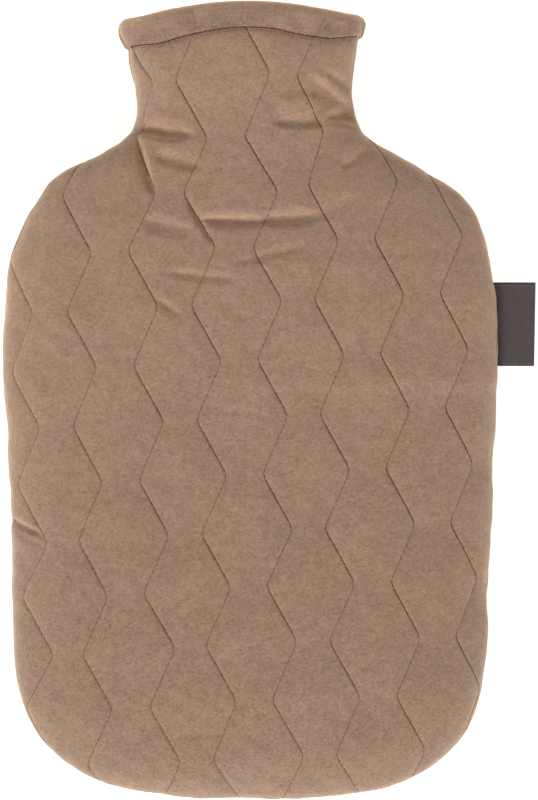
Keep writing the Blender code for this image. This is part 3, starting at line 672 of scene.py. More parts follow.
def run_along(line):
    """How far along a line each of its points is."""
    return np.concatenate([[0.0], np.cumsum(np.linalg.norm(np.diff(line, axis=0), axis=1))])


def evenly(points, step):
    """A dense line's points taken about a step apart, both ends kept."""
    run = run_along(points)
    stops = np.linspace(0.0, run[-1], max(2, round(run[-1] / step) + 1))
    return np.column_stack([np.interp(stops, run, points[:, axis]) for axis in (0, 1)])


def seam_line(step):
    """The seam from the left end of the mouth, round the foot, to the right end."""
    halves = []
    for across, power in zip((-1.0, 1.0), FOOT_POWERS):
        y = np.linspace(mouth(across), FOOT_TOP, SEAM_SAMPLES)
        turn = np.linspace(0.0, math.pi / 2, SEAM_SAMPLES)[1:]
        foot_y = FOOT_TOP - (FOOT_TOP - FOOT_END) * np.sin(turn) ** (2 / power)
        y = np.concatenate([y, foot_y])
        middle, half, _ = section(y, FRONT)
        x = middle + across * half
        x[-1] = FOOT_CENTRE
        halves.append(np.column_stack([x, y]))
    return evenly(np.vstack([halves[0], halves[1][-2::-1]]), step)


def mouth_line(step):
    """The mouth's edge from right to left without the seam's own two points."""
    across = np.linspace(1.0, -1.0, 4 * SEAM_SAMPLES)
    plan = mouth_points(np.sin(across * math.pi / 2))
    cloth = to_cloth(*plan.T)
    even = evenly(cloth, step)[1:-1]
    share = np.interp(-even[:, 0], -cloth[:, 0], np.sin(across * math.pi / 2))
    return mouth_points(share)


def inside_stretches(cloth, inside):
    """The stretches of a line that are inside, as arrays of points."""
    marks = np.flatnonzero(np.diff(np.concatenate([[0], inside.astype(int), [0]])))
    return [cloth[a:b] for a, b in zip(marks[::2], marks[1::2]) if b - a > 2]


def stitch_lines(side, beside, step):
    """The zigzags on the flat cloth, cut off short of the seam and the mouth."""
    lines = []
    for line in QUILT_LINES:
        corners = quilt_corners(line, side, beside)
        legs = [corners[:1]]
        for a, b in zip(corners[:-1], corners[1:]):
            count = max(1, round(np.linalg.norm(b - a) / step))
            legs.append(a + (b - a) * (np.arange(1, count + 1) / count)[:, None])
        cloth = np.vstack(legs)
        inside = inside_edges(to_plan(cloth), LINE_TO_SEAM, LINE_TO_MOUTH)
        lines += inside_stretches(cloth, inside)
    return lines


def hem_line(below_stitches, step):
    """A line on the flat cloth that keeps its distance from the hem's stitches."""
    across = np.sin(np.linspace(-1.0, 1.0, SEAM_SAMPLES) * math.pi / 2) * HEM_REACH
    plan = mouth_points(across, hem_depth(across) + below_stitches)
    return evenly(to_cloth(*plan.T), step)


def fill_points(border, fixed, step):
    """Points in even rows over the flat cloth, clear of its edges and of fixed points."""
    rows = np.arange(border[:, 1].min(), border[:, 1].max(), step * math.sqrt(3) / 2)
    across = np.arange(-PLAN_HALF, PLAN_HALF, step)
    shift = (np.arange(len(rows)) % 2)[:, None] * step / 2
    fill = np.column_stack([(across[None, :] + shift).ravel(), np.repeat(rows, len(across))])
    clear = step * LINE_CLEAR
    fill = fill[inside_edges(to_plan(fill), FILL_CLOSE, clear)]
    tree = KDTree(len(fixed))
    for index, (u, v) in enumerate(fixed):
        tree.insert((u, v, 0.0), index)
    tree.balance()
    return fill[np.array([tree.find((u, v, 0.0))[2] > clear for u, v in fill])]


def laid_out(border_step, fill_step, lines):
    """Cloth, plan, triangles and border of a panel, spread evenly over the flat cloth."""
    seam, edge = seam_line(border_step), mouth_line(border_step)
    plan_border = np.vstack([seam, edge])
    border = to_cloth(*plan_border.T)
    fixed = np.vstack([border, *lines])
    edges = [(i, (i + 1) % len(border)) for i in range(len(border))]
    count = len(border)
    for line in lines:
        edges += [(count + i, count + i + 1) for i in range(len(line) - 1)]
        count += len(line)
    points = [tuple(p) for p in np.vstack([fixed, fill_points(border, fixed, fill_step)])]
    found = delaunay_2d_cdt(points, edges, [], CDT_INSIDE, CDT_NEAR)
    flat, faces = np.array([tuple(p) for p in found[0]]), np.array(found[2])
    place = {given: new for new, many in enumerate(found[3]) for given in many}
    order = [place[i] for i in range(len(border))]
    order += sorted(set(faces.ravel().tolist()) - set(order))
    renumber = np.full(len(flat), -1)
    renumber[order] = np.arange(len(order))
    cloth = flat[order]
    plan = to_plan(cloth)
    plan[: len(border)] = plan_border
    return cloth, plan, renumber[faces], len(seam), len(border)


def new_object(name, points, faces, materials, slots=None, lay=()):
    """A smooth mesh from millimetres, linked to the scene and riding on the root."""
    mesh = bpy.data.meshes.new(name)
    mesh.from_pydata((points * MM).tolist(), [], [tuple(f) for f in faces])
    for made_of in materials:
        mesh.materials.append(made_of)
    if slots is not None:
        mesh.polygons.foreach_set("material_index", np.asarray(slots, np.int32))
    tidy = bmesh.new()
    tidy.from_mesh(mesh)
    bmesh.ops.recalc_face_normals(tidy, faces=tidy.faces)
    tidy.to_mesh(mesh)
    tidy.free()
    mesh.shade_smooth()
    # Painted light and shade for each point, which the pile's colour reads
    if len(lay):
        mesh.attributes.new("lay", "FLOAT", "POINT").data.foreach_set("value", lay)
    made = bpy.data.objects.new(name, mesh)
    bpy.context.scene.collection.objects.link(made)
    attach(made, "root")
    return made


def rim_rows(outer, inner, seam):
    """Rows of points round the border, from the outside over to the inside."""
    bulge = np.zeros((len(outer), 3))
    bulge[seam:, 1] = HEM_FOLD
    rows = []
    for row in range(1, EDGE_ROWS):
        turn = math.pi * row / EDGE_ROWS
        share = (1 - math.cos(turn)) / 2
        rows.append(outer * (1 - share) + inner * share + bulge * math.sin(turn))
    return rows


def rim_faces(starts, edge):
    """Faces between the rows of the rim, whose points begin at these numbers."""
    ring = np.arange(edge)
    after = (ring + 1) % edge
    return np.vstack([
        np.column_stack([low + ring, low + after, high + after, high + ring])
        for low, high in zip(starts[:-1], starts[1:])
    ])


def quilted_panel(name, side, step, materials, sewn):
    """One panel in fine mesh: its outside, its inside and the rounded edge between."""
    lines = []
    for beside in (0.0, -SLIT_HALF, SLIT_HALF, -SLIT_BESIDE, SLIT_BESIDE):
        lines += stitch_lines(side, beside, step)
    lines += [hem_line(off, step) for off in (-HEM_GROOVE_HALF, 0.0, HEM_GROOVE_HALF)]
    cloth, plan, faces, seam, edge = laid_out(step, step, lines)
    outer, _ = outer_points(plan, cloth, side, seam, sewn)

    turned = [hem_line(HEM_TURNED - off, INNER_STEP / 2) for off in (0.0, HEM_TURNED_STEP)]
    _, inner_plan, inner_faces, _, _ = laid_out(step, INNER_STEP, turned)
    inner, _ = inner_points(inner_plan, side, seam, sewn)

    points = np.vstack([outer, *rim_rows(outer[:edge], inner[:edge], seam), inner])
    starts = [0] + [len(outer) + edge * i for i in range(EDGE_ROWS)]
    strips = rim_faces(starts, edge)
    across, below_edge, _ = from_mouth(*inner_plan[inner_faces].mean(axis=1).T)
    deep = below_edge > hem_depth(across) + HEM_TURNED
    all_faces = faces.tolist() + strips.tolist()
    all_faces += (inner_faces[:, ::-1] + starts[-1]).tolist()
    slots = [0] * (len(faces) + len(strips)) + deep.astype(int).tolist()
    # Painted highlight all round the rounded edge, and none inside
    edge_highlight = np.full(starts[-1] - len(outer), EDGE_HIGHLIGHT)
    lay = np.concatenate([painted_pile_light(plan, cloth, side), edge_highlight, np.zeros(len(inner))])
    made = new_object(name, points, all_faces, materials, slots, lay)
    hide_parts(NODES[side])
    return made


# Thread


def stitches(paths, normals, radius, sink):
    """Short round stitches along rows of points. Both ends of each dip into the cloth."""
    count, steps, _ = paths.shape
    spread = np.linspace(-1.0, 1.0, steps)
    round_off = np.sqrt(np.maximum(0.0, 1.0 - THREAD_NARROW * spread**2))
    lift = radius * (1.0 - sink - THREAD_DIP * spread**2)
    along = np.gradient(paths, axis=1)
    along /= np.linalg.norm(along, axis=2)[..., None]
    beside = np.cross(along, normals)
    beside /= np.linalg.norm(beside, axis=2)[..., None]
    up = np.cross(beside, along)
    centre = paths + up * lift[None, :, None]
    turns = np.arange(THREAD_SIDES) / THREAD_SIDES * 2 * math.pi
    rings = centre[:, :, None, :] + radius * round_off[None, :, None, None] * (
        beside[:, :, None, :] * np.cos(turns)[None, None, :, None]
        + up[:, :, None, :] * np.sin(turns)[None, None, :, None]
    )
    faces = []
    for row in range(steps - 1):
        for i in range(THREAD_SIDES):
            j, low = (i + 1) % THREAD_SIDES, row * THREAD_SIDES
            faces.append((low + i, low + j, low + THREAD_SIDES + j, low + THREAD_SIDES + i))
    faces.append(tuple(range(THREAD_SIDES))[::-1])
    faces.append(tuple(range((steps - 1) * THREAD_SIDES, steps * THREAD_SIDES)))
    size = steps * THREAD_SIDES
    all_faces = [tuple(v + size * n for v in face) for n in range(count) for face in faces]
    return rings.reshape(-1, 3), all_faces


def stitch_places(line, length, pitch, uneven, seed):
    """Rows of points on the flat cloth, one row for each stitch of a line."""
    chance = np.random.default_rng(seed)
    run = run_along(line)
    starts = np.arange(0.0, run[-1] - pitch, pitch) + (pitch - length) / 2
    lengths = length * chance.uniform(1.0 - uneven, 1.0, len(starts))
    starts = starts + (length - lengths) * chance.uniform(0.0, 1.0, len(starts))
    stops = starts[:, None] + lengths[:, None] * np.linspace(0.0, 1.0, THREAD_STEPS)[None, :]
    return np.stack([np.interp(stops, run, line[:, axis]) for axis in (0, 1)], axis=2)


def on_surface(places, side, sewn, inside=False):
    """Rows of points of the flat cloth, lifted onto a panel's outside or inside."""
    cloth = places.reshape(-1, 2)
    plan = to_plan(cloth)
    if inside:
        points, normals = inner_points(plan, side, 0, sewn)
        normals = -normals
    else:
        points, normals = outer_points(plan, cloth, side, 0, sewn)
    return points.reshape(*places.shape[:2], 3), normals.reshape(*places.shape[:2], 3)


def quilting_thread(name, side, thread, made_of, sewn):
    """The stitches of one panel's zigzags."""
    length, pitch = sewn.stitch_length / MM, (sewn.stitch_length + sewn.stitch_gap) / MM
    rows = []
    for line in QUILT_LINES:
        corners = quilt_corners(line, side)
        seed = SEED_QUILTING + line + SEED_EACH_SIDE * side
        places = stitch_places(corners, length, pitch, thread.uneven, seed)
        plan = to_plan(places.reshape(-1, 2))
        near = closeness(*plan.T) > THREAD_CLOSE
        across = sideways(*plan.T)
        near &= plan[:, 1] < mouth(across) - hem_depth(across) - THREAD_EDGE
        rows.append(places[near.reshape(places.shape[:2]).all(axis=1)])
    paths, normals = on_surface(np.vstack(rows), side, sewn)
    points, faces = stitches(paths, normals, thread.quilt_thickness / MM / 2, thread.sink)
    return new_object(name, points, faces, [made_of])


def hem_thread(name, thread, made_of, sewn):
    """The heavier row of stitches that holds the hem, outside and inside."""
    length, pitch = thread.hem_length / MM, (thread.hem_length + thread.hem_gap) / MM
    points, faces = [], []
    line = hem_line(0.0, HEM_THREAD_STEP)
    places = stitch_places(line, length, pitch, 2 * thread.uneven, SEED_HEM)
    chance = np.random.default_rng(SEED_SLANTS)
    slants = chance.uniform(*HEM_SLANTS, len(places))[:, None]
    places[:, :, 1] += thread.hem_slant / MM * slants * np.linspace(-0.5, 0.5, THREAD_STEPS)
    for side in (FRONT, BACK):
        for inside in (False, True):
            paths, normals = on_surface(places, side, sewn, inside)
            some, more = stitches(paths, normals, thread.hem_thickness / MM / 2, thread.sink)
            start = sum(len(p) for p in points)
            points.append(some)
            faces += [tuple(v + start for v in face) for face in more]
    return new_object(name, np.vstack(points), faces, [made_of])


# The label


def folded_label(name, made_of, layer):
    """A ribbon folded at its tip, with both of its ends in the seam."""
    tip = LABEL_TIP - LABEL_BEND
    flat_x = np.linspace(LABEL_ROOT, tip, LABEL_STEPS)
    bend = math.pi / 2 - math.pi * np.arange(1, LABEL_TURNS) / LABEL_TURNS
    path = [(x, LABEL_BEND) for x in flat_x]
    path += [(tip + LABEL_BEND * math.cos(a), LABEL_BEND * math.sin(a)) for a in bend]
    path += [(x, -LABEL_BEND) for x in flat_x[::-1]]
    path = np.array(path)
    middle = (LABEL_LOW + LABEL_HIGH) / 2
    seam = float(curve(THICKNESS, 3, np.array([middle]))[0])
    share = np.repeat(np.linspace(0.0, 1.0, LABEL_ROWS), len(path))
    x, z = np.tile(path[:, 0], LABEL_ROWS), np.tile(path[:, 1], LABEL_ROWS)
    out = np.maximum(0.0, x - LABEL_FLAT_TO) / (LABEL_TIP - LABEL_FLAT_TO)
    sag = LABEL_SAGS[0] + (LABEL_SAGS[1] - LABEL_SAGS[0]) * share
    points = np.column_stack([
        x + LABEL_SLANT * (share - 0.5) * out,
        LABEL_LOW + (LABEL_HIGH - LABEL_LOW) * share,
        seam + z - LABEL_DROOP * sag * out**2,
    ])
    count = len(path)
    corner = (np.arange(LABEL_ROWS - 1)[:, None] * count + np.arange(count - 1)).ravel()
    faces = np.column_stack([corner, corner + 1, corner + count + 1, corner + count])
    made = new_object(name, points, faces, [made_of])
    ribbon = made.modifiers.new("ribbon", "SOLIDIFY")
    ribbon.thickness = layer
    ribbon.offset = 0.0
    ribbon.use_even_offset = True
    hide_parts("side_label")
    return made


# Finishes


class Wire:
    """One value in a material, so that its sums are written as plain ones."""

    def __init__(self, finish, socket):
        self.finish, self.socket = finish, socket

    def sum(self, operation, first, second):
        sockets = {0: first, 1: second}
        return self.finish.node("ShaderNodeMath", {"operation": operation}, sockets)

    def __add__(self, other):
        return self.sum("ADD", self, other)

    def __radd__(self, other):
        return self.sum("ADD", other, self)

    def __sub__(self, other):
        return self.sum("SUBTRACT", self, other)

    def __rsub__(self, other):
        return self.sum("SUBTRACT", other, self)

    def __mul__(self, other):
        return self.sum("MULTIPLY", self, other)

    def __rmul__(self, other):
        return self.sum("MULTIPLY", other, self)

    def __abs__(self):
        return self.finish.node("ShaderNodeMath", {"operation": "ABSOLUTE"}, {0: self})


class Finish:
    """A material with its shader, and one way to add any node to it."""

    def __init__(self, name, **fixed):
        self.material = bpy.data.materials.new(name)
        self.material.use_nodes = True
        self.tree = self.material.node_tree
        self.shader = self.tree.nodes["Principled BSDF"]
        for socket, value in fixed.items():
            self.shader.inputs[socket.replace("_", " ")].default_value = value

    def put(self, socket, value):
        if isinstance(value, Wire):
            self.tree.links.new(value.socket, socket)
        else:
            socket.default_value = value

    def node(self, kind, settings=None, sockets=None, output=0):
        made = self.tree.nodes.new(kind)
        for key, value in (settings or {}).items():
            if key == "stops":
                ramp = made.color_ramp.elements
                while len(ramp) < len(value):
                    ramp.new(0.5)
                for stop, (position, colour) in zip(ramp, value):
                    stop.position, stop.color = position, colour
            else:
                setattr(made, key, value)
        for key, value in (sockets or {}).items():
            self.put(made.inputs[key], value)
        return Wire(self, made.outputs[output])

    def feed(self, **sockets):
        for socket, value in sockets.items():
            self.put(self.shader.inputs[socket.replace("_", " ")], value)

    def place(self, stretch=(1.0, 1.0, 1.0)):
        """Where the point lies on the object, stretched along its axes."""
        at = self.node("ShaderNodeTexCoord", output="Object")
        return self.node(
            "ShaderNodeVectorMath", {"operation": "MULTIPLY"}, {0: at, 1: stretch}
        )

    def grain(self, place, size, detail=2.0, roughness=0.5, distortion=0.0):
        """Noise from 0 to 1, with blotches of one size in metres."""
        return self.node(
            "ShaderNodeTexNoise",
            {"noise_dimensions": "3D"},
            {
                "Vector": place,
                "Scale": 1.0 / size,
                "Detail": detail,
                "Roughness": roughness,
                "Distortion": distortion,
            },
        )

    def bands(self, place, direction, scale, distortion, detail=2.0):
        """Stripes from 0 to 1 that run on in one direction."""
        return self.node(
            "ShaderNodeTexWave",
            {"wave_type": "BANDS", "bands_direction": direction, "wave_profile": "SIN"},
            {"Vector": place, "Scale": scale, "Distortion": distortion, "Detail": detail},
            output="Fac",
        )

    def axis(self, place, number):
        """One of a place's three lengths."""
        return self.node("ShaderNodeSeparateXYZ", None, {0: place}, number)

    def sharpened(self, value, low, high):
        """0 below low, 1 above high, and smooth between them."""
        return self.node(
            "ShaderNodeMapRange",
            {"interpolation_type": "SMOOTHSTEP"},
            {"Value": value, "From Min": low, "From Max": high},
        )

    def mixed(self, share, first, second):
        """From the first colour to the second."""
        return self.node(
            "ShaderNodeMix", {"data_type": "RGBA"}, {0: share, 6: first, 7: second}, 2
        )

    def shaded(self, colour, strength):
        """A colour made darker or lighter all through."""
        return self.node(
            "ShaderNodeVectorMath", {"operation": "SCALE"}, {0: colour, "Scale": strength}
        )

    def bumped(self, height, distance, strength=1.0, under=None):
        sockets = {"Height": height, "Distance": distance, "Strength": strength}
        if under is not None:
            sockets["Normal"] = under
        return self.node("ShaderNodeBump", None, sockets)


def velour(name, cloth, tone=1.0):
    """Short pile: pinker and yellower clouds, brushed patches, a fine broken grain, and painted
    light: lighter towards the neck, with painted highlights and shade carried on the mesh.
    """
    made = Finish(
        name,
        Roughness=0.92,
        Specular_IOR_Level=0.12,
        Sheen_Weight=cloth.sheen,
        Sheen_Roughness=cloth.sheen_spread,
        Sheen_Tint=(*cloth.sheen_colour, 1.0),
    )
    place = made.place()
    clouds = made.sharpened(made.grain(place, CLOUD, 2.5, 0.5, 0.6), *CLOUD_EDGES)
    # Painted highlights and shade carried on the mesh, read into the colour
    lay = made.node("ShaderNodeAttribute", {"attribute_name": "lay"}, output="Fac")
    # Random clouds, pinker under painted shade and yellower under painted highlights
    clouds_and_painted_tint = clouds - lay * PAINTED_LIGHT_TINT
    colour = made.mixed(clouds_and_painted_tint, (*cloth.olive, 1.0), (*cloth.warm, 1.0))
    brushed = made.grain(made.place((1.0, 1.9, 1.0)), BRUSHED, 3.0, 0.6, 0.8)
    grain = made.grain(made.place((1.0, 1.25, 1.0)), PILE_GRAIN, 3.0, 0.6)
    tufts = made.grain(place, TUFT, 2.0, 0.6, 0.5)
    light = (brushed - 0.5) * cloth.brushing + (grain - 0.5) * cloth.grain
    # Painted light added to the random tone: lighter towards the neck, plus the painted
    # highlights and shade carried on the mesh
    up = made.axis(place, 1)
    light = light + (tufts - 0.5) * cloth.grain * 0.5 + up * cloth.painted_light_upwards + lay
    made.feed(
        Base_Color=made.shaded(colour, (light + 1.0) * tone),
        Normal=made.bumped(grain * 0.6 + tufts, cloth.pile_depth),
    )
    return made.material


def lining(name, cloth):
    """The plain knit on the inside of the quilting."""
    made = Finish(name, Roughness=0.85, Specular_IOR_Level=0.2, Sheen_Weight=0.1)
    place = made.place()
    rib = made.bands(place, "X", KNIT_SCALE, 0.6, 1.0)
    fluff = made.grain(place, FLUFF, 3.0, 0.6)
    colour = made.mixed(fluff, (*cloth.lining, 1.0), (*cloth.olive, 1.0))
    made.feed(
        Base_Color=made.shaded(colour, rib * 0.16 + 0.82),
        Normal=made.bumped(rib + fluff * 0.6, KNIT_DEPTH),
    )
    return made.material


def sewing_thread(name, thread, tone=1.0):
    """Twisted thread, dark brown, with a slight gloss."""
    made = Finish(name, Roughness=0.62, Specular_IOR_Level=0.3, Sheen_Weight=0.15)
    place = made.place()
    twist = made.bands(place, "DIAGONAL", TWIST_SCALE, 0.8)
    shade = made.grain(place, TWIST_SHADE, 2.0)
    colour = made.mixed(shade, (*thread.dark, 1.0), (*thread.light, 1.0))
    made.feed(
        Base_Color=made.shaded(colour, (twist * 0.3 + 0.8) * tone),
        Normal=made.bumped(twist, TWIST_DEPTH),
    )
    return made.material


def woven_ribbon(name, label):
    """A dense ribbon, left plain, with a dark edge and a raised thread along both sides, and
    painted light that makes it paler where the cover shades it by the seam.
    """
    made = Finish(name, Roughness=0.55, Specular_IOR_Level=0.35, Sheen_Weight=0.2)
    at = made.node("ShaderNodeTexCoord", output="Object")
    middle = (LABEL_LOW + LABEL_HIGH) / 2 * MM
    half = (LABEL_HIGH - LABEL_LOW) / 2 * MM
    from_middle = abs(made.axis(at, 1) - middle)
    selvedge = made.sharpened(from_middle, half - label.edge, half - label.edge * 0.6)
    off_rib = abs(from_middle - (half - label.rib))
    rib = 1.0 - made.sharpened(off_rib, RIB_FULL, RIB_END)
    # Painted light: paler towards the seam, against the cover's shadow there
    shade = 1.0 - made.sharpened(made.axis(at, 0), SEAM_PAINTED_LIGHT_FROM, SEAM_PAINTED_LIGHT_TO)
    warp, weft = [made.bands(at, turn, WEAVE_SCALE / size, 0.15) for turn, size in WEAVE]
    weave = warp * weft
    dust = made.grain(at, DUST, 3.0, 0.6)
    speck = made.grain(made.place((1.0, 0.6, 1.0)), SPECK, 2.0, 0.6)
    colour = made.mixed(selvedge, (*label.colour, 1.0), (*label.edge_colour, 1.0))
    made.feed(
        Base_Color=made.shaded(
            colour,
            (weave * 0.35 + dust * 0.4 + speck * 0.5 + 0.42) * (rib * 0.4 + 1.0)
            * (shade * label.seam_painted_light + 1.0),
        ),
        Normal=made.bumped(weave + rib * 2.0, WEAVE_DEPTH),
        Roughness=dust * 0.16 + 0.5,
    )
    return made.material


def floor_paper(name, stage):
    """Matt pale paper."""
    made = Finish(name, Roughness=0.9, Specular_IOR_Level=0.1, Emission_Strength=stage.glow)
    made.shader.inputs["Emission Color"].default_value = (1.0, 1.0, 1.0, 1.0)
    tooth = made.grain(made.place(), PAPER_TOOTH, 2.0)
    made.feed(Base_Color=made.shaded(tuple(stage.floor), tooth * 0.02 + 0.99))
    return made.material


# Sizes and colours that can be changed


def length_of(name, text, value):
    return FloatProperty(name=name, description=text, default=value, unit="LENGTH", precision=5)


def share_of(name, text, value, top=2.0):
    return FloatProperty(name=name, description=text, default=value, min=0.0, max=top)


def colour_of(name, text, value):
    return FloatVectorProperty(
        name=name, description=text, default=value, size=3, min=0.0, max=1.0, subtype="COLOR"
    )


class CoverSewing(bpy.types.PropertyGroup):
    """How deep and how wide the quilting, its stitches and the creases are."""

    pillow_rise: length_of("Pillow rise", "How far the cloth puffs up between stitches", 0.00075)
    pillow_span: length_of("Pillow span", "How soon it puffs up beside a line", 0.006)
    groove_depth: length_of("Groove depth", "How far the stitches pull the cloth in", 0.0001)
    slit_depth: length_of("Slit depth", "How deep the thread parts the pile", 0.001)
    pucker: length_of("Pucker", "Rise of the cloth between one stitch and the next", 0.0001)
    waver: length_of("Waver", "Aimless rise and fall of soft cloth", 0.00025)
    stitch_length: length_of("Stitch length", "Length of one stitch", 0.0026)
    stitch_gap: length_of("Stitch gap", "From the end of a stitch to the next", 0.0003)
    crease_share: share_of("Creases", "Depth of the main creases", 1.0, 4.0)
    front_spacing: length_of("Front spacing", "Distance between the front's points", 0.00112)
    back_spacing: length_of("Back spacing", "Distance between the back's points", 0.0013)


class CoverThread(bpy.types.PropertyGroup):
    """The sewing thread."""

    quilt_thickness: length_of("Quilting thread", "Thickness", 0.00034)
    hem_thickness: length_of("Hem thread", "Thickness", 0.00078)
    hem_length: length_of("Hem stitch", "Length of one stitch of the hem", 0.0025)
    hem_gap: length_of("Hem gap", "From the end of a stitch to the next", -0.0005)
    hem_slant: length_of("Hem slant", "How far each stitch of the hem leans aside", 0.0006)
    hem_tone: share_of("Hem tone", "How light the hem's thread is beside the other", 0.9)
    uneven: share_of("Unevenness", "How unlike each other the stitches are", 0.12)
    sink: share_of("Sink", "How deep the thread lies in, in half thicknesses", 0.3)
    dark: colour_of("Dark", "Colour of the thread", (0.044, 0.017, 0.007))
    light: colour_of("Light", "Its lighter stretches", (0.076, 0.036, 0.017))


class CoverVelour(bpy.types.PropertyGroup):
    """The pile outside and the knit inside."""

    warm: colour_of("Warm", "Colour of its pinker clouds", (0.306, 0.195, 0.143))
    olive: colour_of("Olive", "Colour of its yellower clouds", (0.313, 0.199, 0.129))
    lining: colour_of("Inside", "Colour of the inside", (0.26, 0.175, 0.12))
    # Painted light: the pile's colour is made lighter towards the neck, per metre, to even out
    # how the key light falls along the cover
    painted_light_upwards: share_of("Lighter upwards", "How much lighter the pile lies, per metre", 0.8)
    sheen: share_of("Sheen", "Strength of the pile's sheen", 0.72, 1.0)
    sheen_spread: share_of("Sheen spread", "Roughness of the sheen", 0.6, 1.0)
    sheen_colour: colour_of("Sheen colour", "Colour of the sheen", (1.0, 0.77, 0.57))
    brushing: share_of("Brushing", "Light and dark of the brushed patches", 0.16)
    grain: share_of("Grain", "Light and dark of the single tufts", 1.05)
    pile_depth: length_of("Pile depth", "Depth of the pile's grain", 0.00028)
    back_tone: share_of("Back tone", "How light the back is beside the front", 0.96)


class CoverLabel(bpy.types.PropertyGroup):
    """The woven label."""

    layer: length_of("Thickness", "Thickness of the ribbon", LABEL_LAYER * MM)
    colour: colour_of("Ribbon", "Colour of the ribbon", (0.076, 0.061, 0.060))
    edge_colour: colour_of("Edge", "Colour of its cut edges", (0.034, 0.026, 0.025))
    edge: length_of("Edge width", "Width of its woven edges", 0.0006)
    rib: length_of("Rib", "From the edge to the raised thread beside it", 0.0013)
    # Painted light: how much paler the ribbon is painted in the seam's shade
    seam_painted_light: share_of("Seam tone", "How much paler it is in the seam's shade", 0.45)


class CoverStage(bpy.types.PropertyGroup):
    """Floor, light and camera."""

    floor: colour_of("Floor", "Colour of the floor", (0.93, 0.93, 0.93))
    floor_half: length_of("Floor reach", "From its middle to its side", 2.5)
    key_power: FloatProperty(
        name="Key light", description="Power of the soft light", default=292.0, unit="POWER"
    )
    key_size: length_of("Key size", "Side of the soft light", 2.0)
    key_away: length_of("Key distance", "From the cover to the light", 6.0)
    key_turn: FloatProperty(
        name="Key turn",
        description="Where the light stands, from the right side towards the top",
        default=math.radians(251.0),
        subtype="ANGLE",
    )
    key_lean: FloatProperty(
        name="Key lean",
        description="How far it leans from straight above",
        default=math.radians(52.0),
        subtype="ANGLE",
    )
    key_colour: colour_of("Key colour", "Colour of the soft light", (0.94, 0.97, 1.0))
    sky: share_of("Surrounding light", "Strength of the even light", 0.528, 3.0)
    sky_colour: colour_of("Surrounding colour", "Colour of the even light", (1.0, 0.955, 0.91))
    glow: share_of("Floor glow", "Light that the floor gives off by itself", 0.68)
    lens: FloatProperty(
        name="Lens", description="Focal length", default=157.4, unit="CAMERA"
    )
    camera_x: length_of("Camera across", "Where the camera looks down", 0.00937)
    camera_y: length_of("Camera along", "Where the camera looks down", 0.00064)
    camera_height: length_of("Camera height", "From the seam up to the camera", 1.5)


class CoverSettings(bpy.types.PropertyGroup):
    sewing: PointerProperty(type=CoverSewing)
    thread: PointerProperty(type=CoverThread)
    cloth: PointerProperty(type=CoverVelour)
    label: PointerProperty(type=CoverLabel)
    stage: PointerProperty(type=CoverStage)


# The stage


def placed(scene, name, data, location):
    """A new object with this data, linked to the scene."""
    made = bpy.data.objects.new(name, data)
    made.location = location
    scene.collection.objects.link(made)
    return made


def lay_floor(scene, stage):
    half = stage.floor_half
    corners = [(-half, -half, 0.0), (half, -half, 0.0), (half, half, 0.0), (-half, half, 0.0)]
    mesh = bpy.data.meshes.new("floor")
    mesh.from_pydata(corners, [], [(0, 1, 2, 3)])
    mesh.materials.append(floor_paper("floor_paper", stage))
    floor = placed(scene, "floor", mesh, (0.0, 0.0, -FLOOR_GAP))


def hang_light(scene, stage):
    """One soft light, aimed at the middle of the cover."""
    lean, turn = stage.key_lean, stage.key_turn
    towards = Vector((
        math.sin(lean) * math.cos(turn),
        math.sin(lean) * math.sin(turn),
        math.cos(lean),
    ))
    soft = bpy.data.lights.new("soft_key", "AREA")
    soft.shape, soft.size, soft.energy = "SQUARE", stage.key_size, stage.key_power
    soft.color = stage.key_colour
    middle = Vector((0.0, 0.0, SEAM_LEVEL))
    key = placed(scene, "soft_key", soft, middle + towards * stage.key_away)
    key.rotation_euler = towards.to_track_quat("Z", "Y").to_euler()


def fill_sky(scene, stage):
    """Even light from all round."""
    scene.world = bpy.data.worlds.new("even_light")
    scene.world.use_nodes = True
    sky = scene.world.node_tree.nodes["Background"].inputs
    sky["Color"].default_value = (*stage.sky_colour, 1.0)
    sky["Strength"].default_value = stage.sky


def set_camera(scene, stage):
    """A long lens straight above, so that the camera needs no turn."""
    lens = bpy.data.cameras.new("camera")
    lens.lens, lens.sensor_width, lens.clip_end = stage.lens, SENSOR, CAMERA_REACH
    above = (stage.camera_x, stage.camera_y, SEAM_LEVEL + stage.camera_height)
    scene.camera = placed(scene, "camera", lens, above)


# One operator for each piece


class BuildFront(bpy.types.Operator):
    """Builds the quilted front with its creases and turned hem"""

    bl_idname = "cover.front_panel"
    bl_label = "Front panel"

    def execute(self, context):
        cover = context.scene.cover
        finishes = [velour("front_velour", cover.cloth), lining("front_lining", cover.cloth)]
        step = cover.sewing.front_spacing / MM
        made = quilted_panel("quilted_front", FRONT, step, finishes, cover.sewing)
        return {"FINISHED"}


class BuildBack(bpy.types.Operator):
    """Builds the quilted back, which lies on the floor"""

    bl_idname = "cover.back_panel"
    bl_label = "Back panel"

    def execute(self, context):
        cover = context.scene.cover
        outside = velour("back_velour", cover.cloth, cover.cloth.back_tone)
        finishes = [outside, lining("back_lining", cover.cloth)]
        step = cover.sewing.back_spacing / MM
        made = quilted_panel("quilted_back", BACK, step, finishes, cover.sewing)
        return {"FINISHED"}


class SewQuilting(bpy.types.Operator):
    """Sews the zigzags of both panels"""

    bl_idname = "cover.quilting_thread"
    bl_label = "Quilting thread"

    def execute(self, context):
        cover = context.scene.cover
        made_of = sewing_thread("quilting_thread", cover.thread)
        for name, side in (("front_quilting", FRONT), ("back_quilting", BACK)):
            quilting_thread(name, side, cover.thread, made_of, cover.sewing)
        return {"FINISHED"}


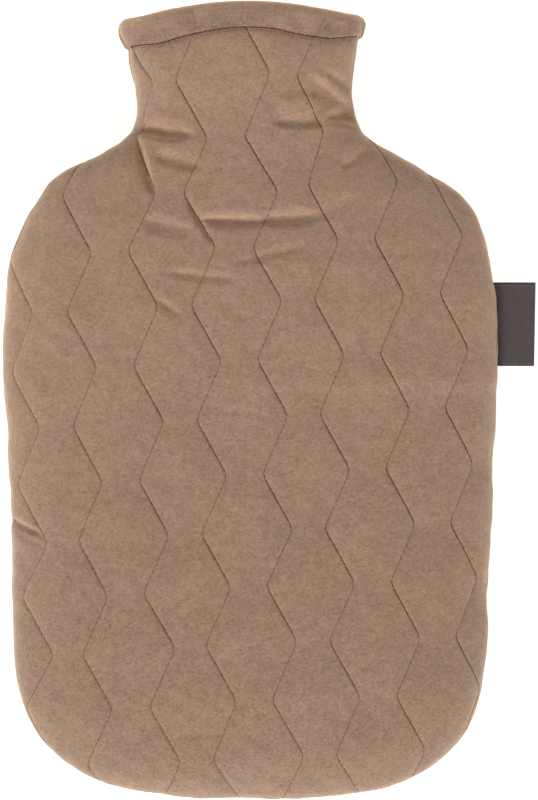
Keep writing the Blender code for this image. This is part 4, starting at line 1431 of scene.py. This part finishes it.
class SewHem(bpy.types.Operator):
    """Sews the row of longer stitches round the mouth"""

    bl_idname = "cover.hem_thread"
    bl_label = "Hem thread"

    def execute(self, context):
        cover = context.scene.cover
        made_of = sewing_thread("hem_thread", cover.thread, cover.thread.hem_tone)
        hem_thread("hem_stitches", cover.thread, made_of, cover.sewing)
        return {"FINISHED"}


class FoldLabel(bpy.types.Operator):
    """Folds the woven label into the right side seam"""

    bl_idname = "cover.side_label"
    bl_label = "Side label"

    def execute(self, context):
        label = context.scene.cover.label
        made = folded_label("woven_label", woven_ribbon("label_ribbon", label), label.layer)
        return {"FINISHED"}


class SetStage(bpy.types.Operator):
    """Lays the pale floor, and sets the lights and the camera"""

    bl_idname = "cover.stage"
    bl_label = "Floor, light and camera"

    def execute(self, context):
        scene = context.scene
        for part in (lay_floor, hang_light, fill_sky, set_camera):
            part(scene, scene.cover.stage)
        scene.view_settings.view_transform = "Standard"
        return {"FINISHED"}


class CoverPanel(bpy.types.Panel):
    """Buttons for every piece, with its sizes and colours"""

    bl_idname = "VIEW3D_PT_cover"
    bl_label = "Hot water bottle cover"
    bl_space_type = "VIEW_3D"
    bl_region_type = "UI"
    bl_category = "Cover"

    def draw(self, context):
        for group in GROUPS:
            box = self.layout.box()
            values = getattr(context.scene.cover, group)
            for value in values.bl_rna.properties:
                if value.identifier not in ("rna_type", "name"):
                    box.prop(values, value.identifier)
        for step in STEPS:
            self.layout.operator(step.bl_idname)


GROUPS = ("sewing", "thread", "cloth", "label", "stage")
STEPS = (SetStage, BuildBack, BuildFront, SewQuilting, SewHem, FoldLabel)
CLASSES = (
    CoverSewing,
    CoverThread,
    CoverVelour,
    CoverLabel,
    CoverStage,
    CoverSettings,
    *STEPS,
    CoverPanel,
)


def register():
    for each in CLASSES:
        bpy.utils.register_class(each)
    bpy.types.Scene.cover = PointerProperty(type=CoverSettings)


def unregister():
    del bpy.types.Scene.cover
    for each in reversed(CLASSES):
        bpy.utils.unregister_class(each)


def main():
    register()
    for step in STEPS:
        group, name = step.bl_idname.split(".")
        getattr(getattr(bpy.ops, group), name)()


if __name__ == "__main__":
    main()
